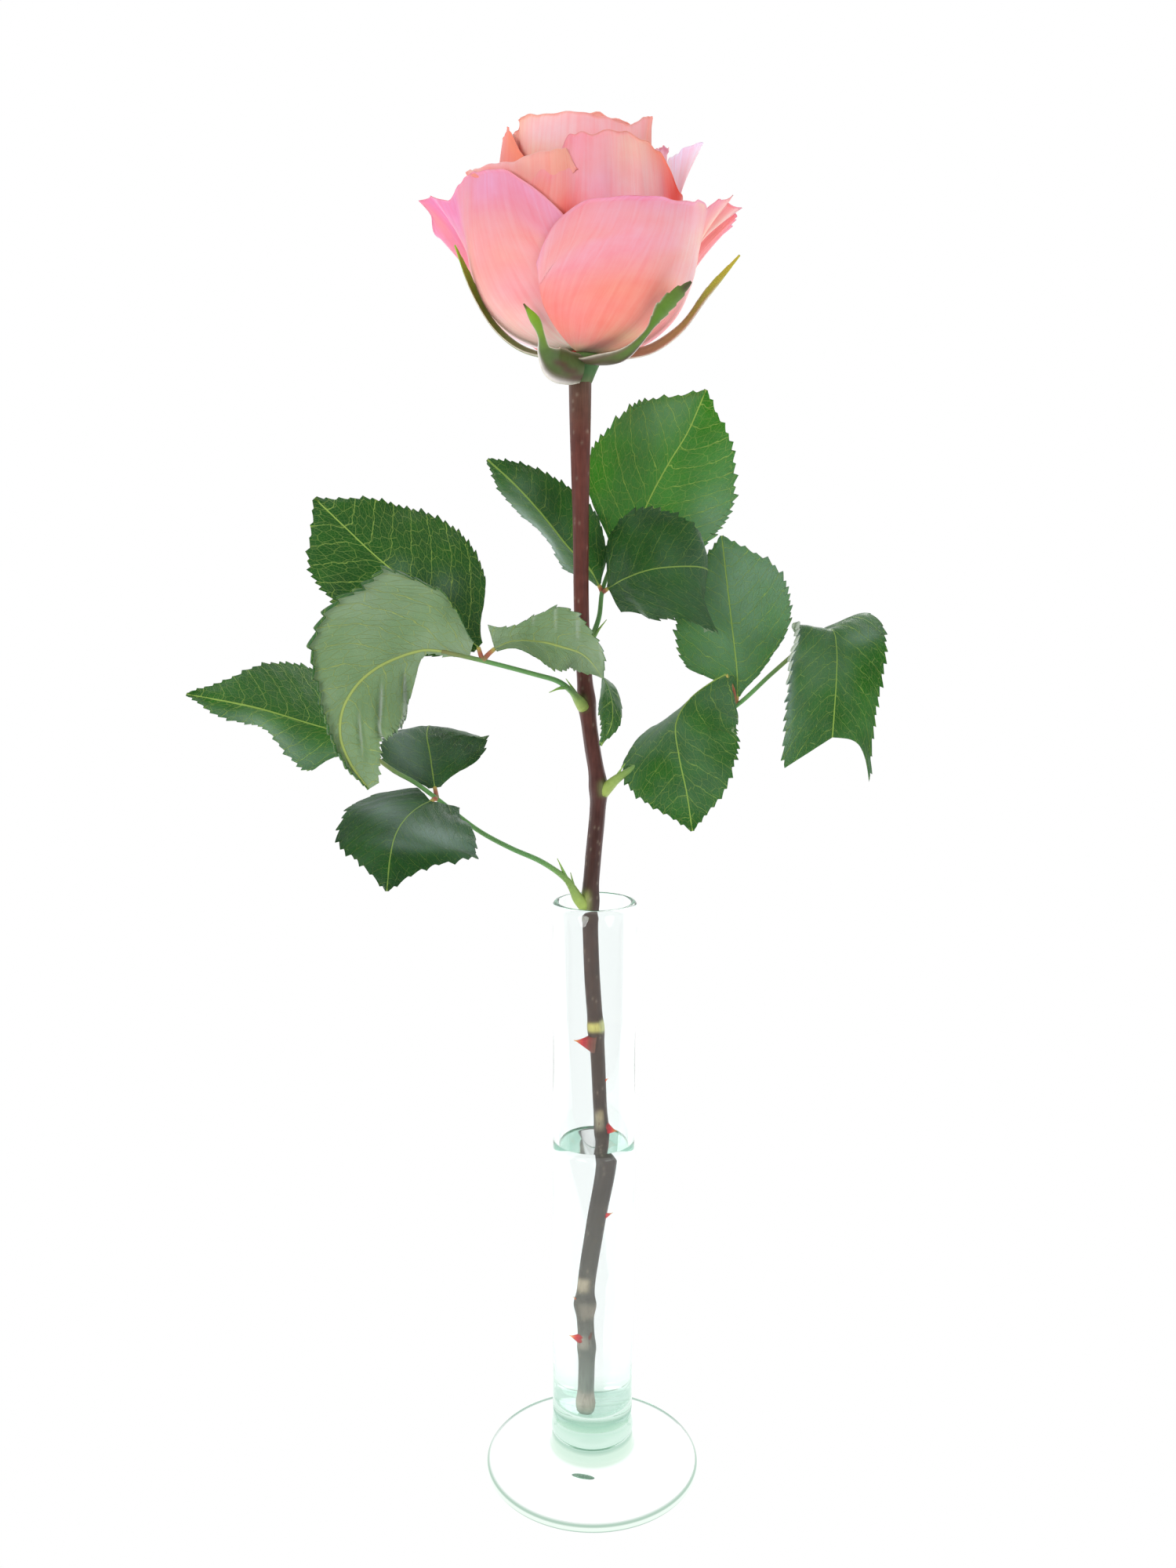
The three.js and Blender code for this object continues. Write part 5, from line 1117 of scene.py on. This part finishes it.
def studioSky(s):
    # a white sky that lights most from behind; seen directly it is plain white, through glass it dims to the front
    world = bpy.data.worlds.new("studioSky")
    world.use_nodes = True
    world.node_tree.nodes.clear()
    add = partial(addNode, world.node_tree)
    way = add("TexCoord")
    lean = add("VectorMath", {0: way.outputs["Generated"], 1: (0, 0.8, 0.6)}, operation="DOT_PRODUCT")
    power = add("MapRange", {"Value": lean, "From Min": -0.75, "From Max": 0.6, "To Min": s["front"],
                             "To Max": s["rear"]})
    glassy = add("MapRange", {"Value": lean, "From Min": -0.6, "From Max": 0.0, "To Min": s["glassFront"],
                              "To Max": s["glassRear"]})
    # steeply down it meets the table, which runs on to the front
    axes = add("SeparateXYZ", {"Vector": way.outputs["Generated"]})
    steep = add("MapRange", {"Value": axes.outputs["Z"], "From Min": -0.75, "From Max": -0.45, "To Min": s["glassRear"],
                             "To Max": 0.0})
    through = add("Math", {0: glassy, 1: steep}, operation="MAXIMUM")
    soft = add("Background", {"Color": linear("#f6faff"), "Strength": power})
    # what has gone right through both walls is lit from every side; the dim front only shows mirrored
    path = add("LightPath")
    passed = add("MapRange", {"Value": path.outputs["Transmission Depth"], "From Min": 3.0, "From Max": 4.0,
                              "To Min": through, "To Max": s["glassRear"]})
    clear = add("Background", {"Color": (1, 1, 1, 1), "Strength": passed})
    plain = add("Background", {"Color": (1, 1, 1, 1), "Strength": 1.0})
    inGlass = add("MixShader", {"Fac": path.outputs["Is Singular Ray"], 1: soft, 2: clear})
    both = add("MixShader", {"Fac": path.outputs["Is Camera Ray"], 1: inGlass, 2: plain})
    add("OutputWorld", {"Surface": both})
    bpy.context.scene.world = world


def photoCamera(s):
    # the view of the photograph: a place, a tilt down and a slight roll
    lens = bpy.data.cameras.new("photoCamera")
    lens.lens, lens.sensor_width, lens.clip_start, lens.clip_end = s["lens"], 36.0, 0.01, 60.0
    body = bpy.data.objects.new("photoCamera", lens)
    pitch, roll = np.radians(90 - s["pitch"]), np.radians(s["roll"])
    turned = Matrix.Rotation(pitch, 4, "X") @ Matrix.Rotation(roll, 4, "Z")
    body.matrix_world = Matrix.Translation(Vector(s["camera"]) * mm) @ turned
    bpy.context.collection.objects.link(body)
    bpy.context.scene.camera = body


lightTable(studioSet)
studioSky(studioSet)
for lampName, lampPlace, lampSize, lampPower in studioSet["lamps"]:
    softLamp(lampName, lampPlace, studioSet["aim"], lampSize, lampPower)
photoCamera(studioSet)
bpy.context.scene.view_settings.view_transform = "Standard"
# light that turns back many times inside the glass foot still gets out
for kind in ("max_bounces", "glossy_bounces", "transmission_bounces"):
    setattr(bpy.context.scene.cycles, kind, studioSet["bounces"])
print("studio ready")
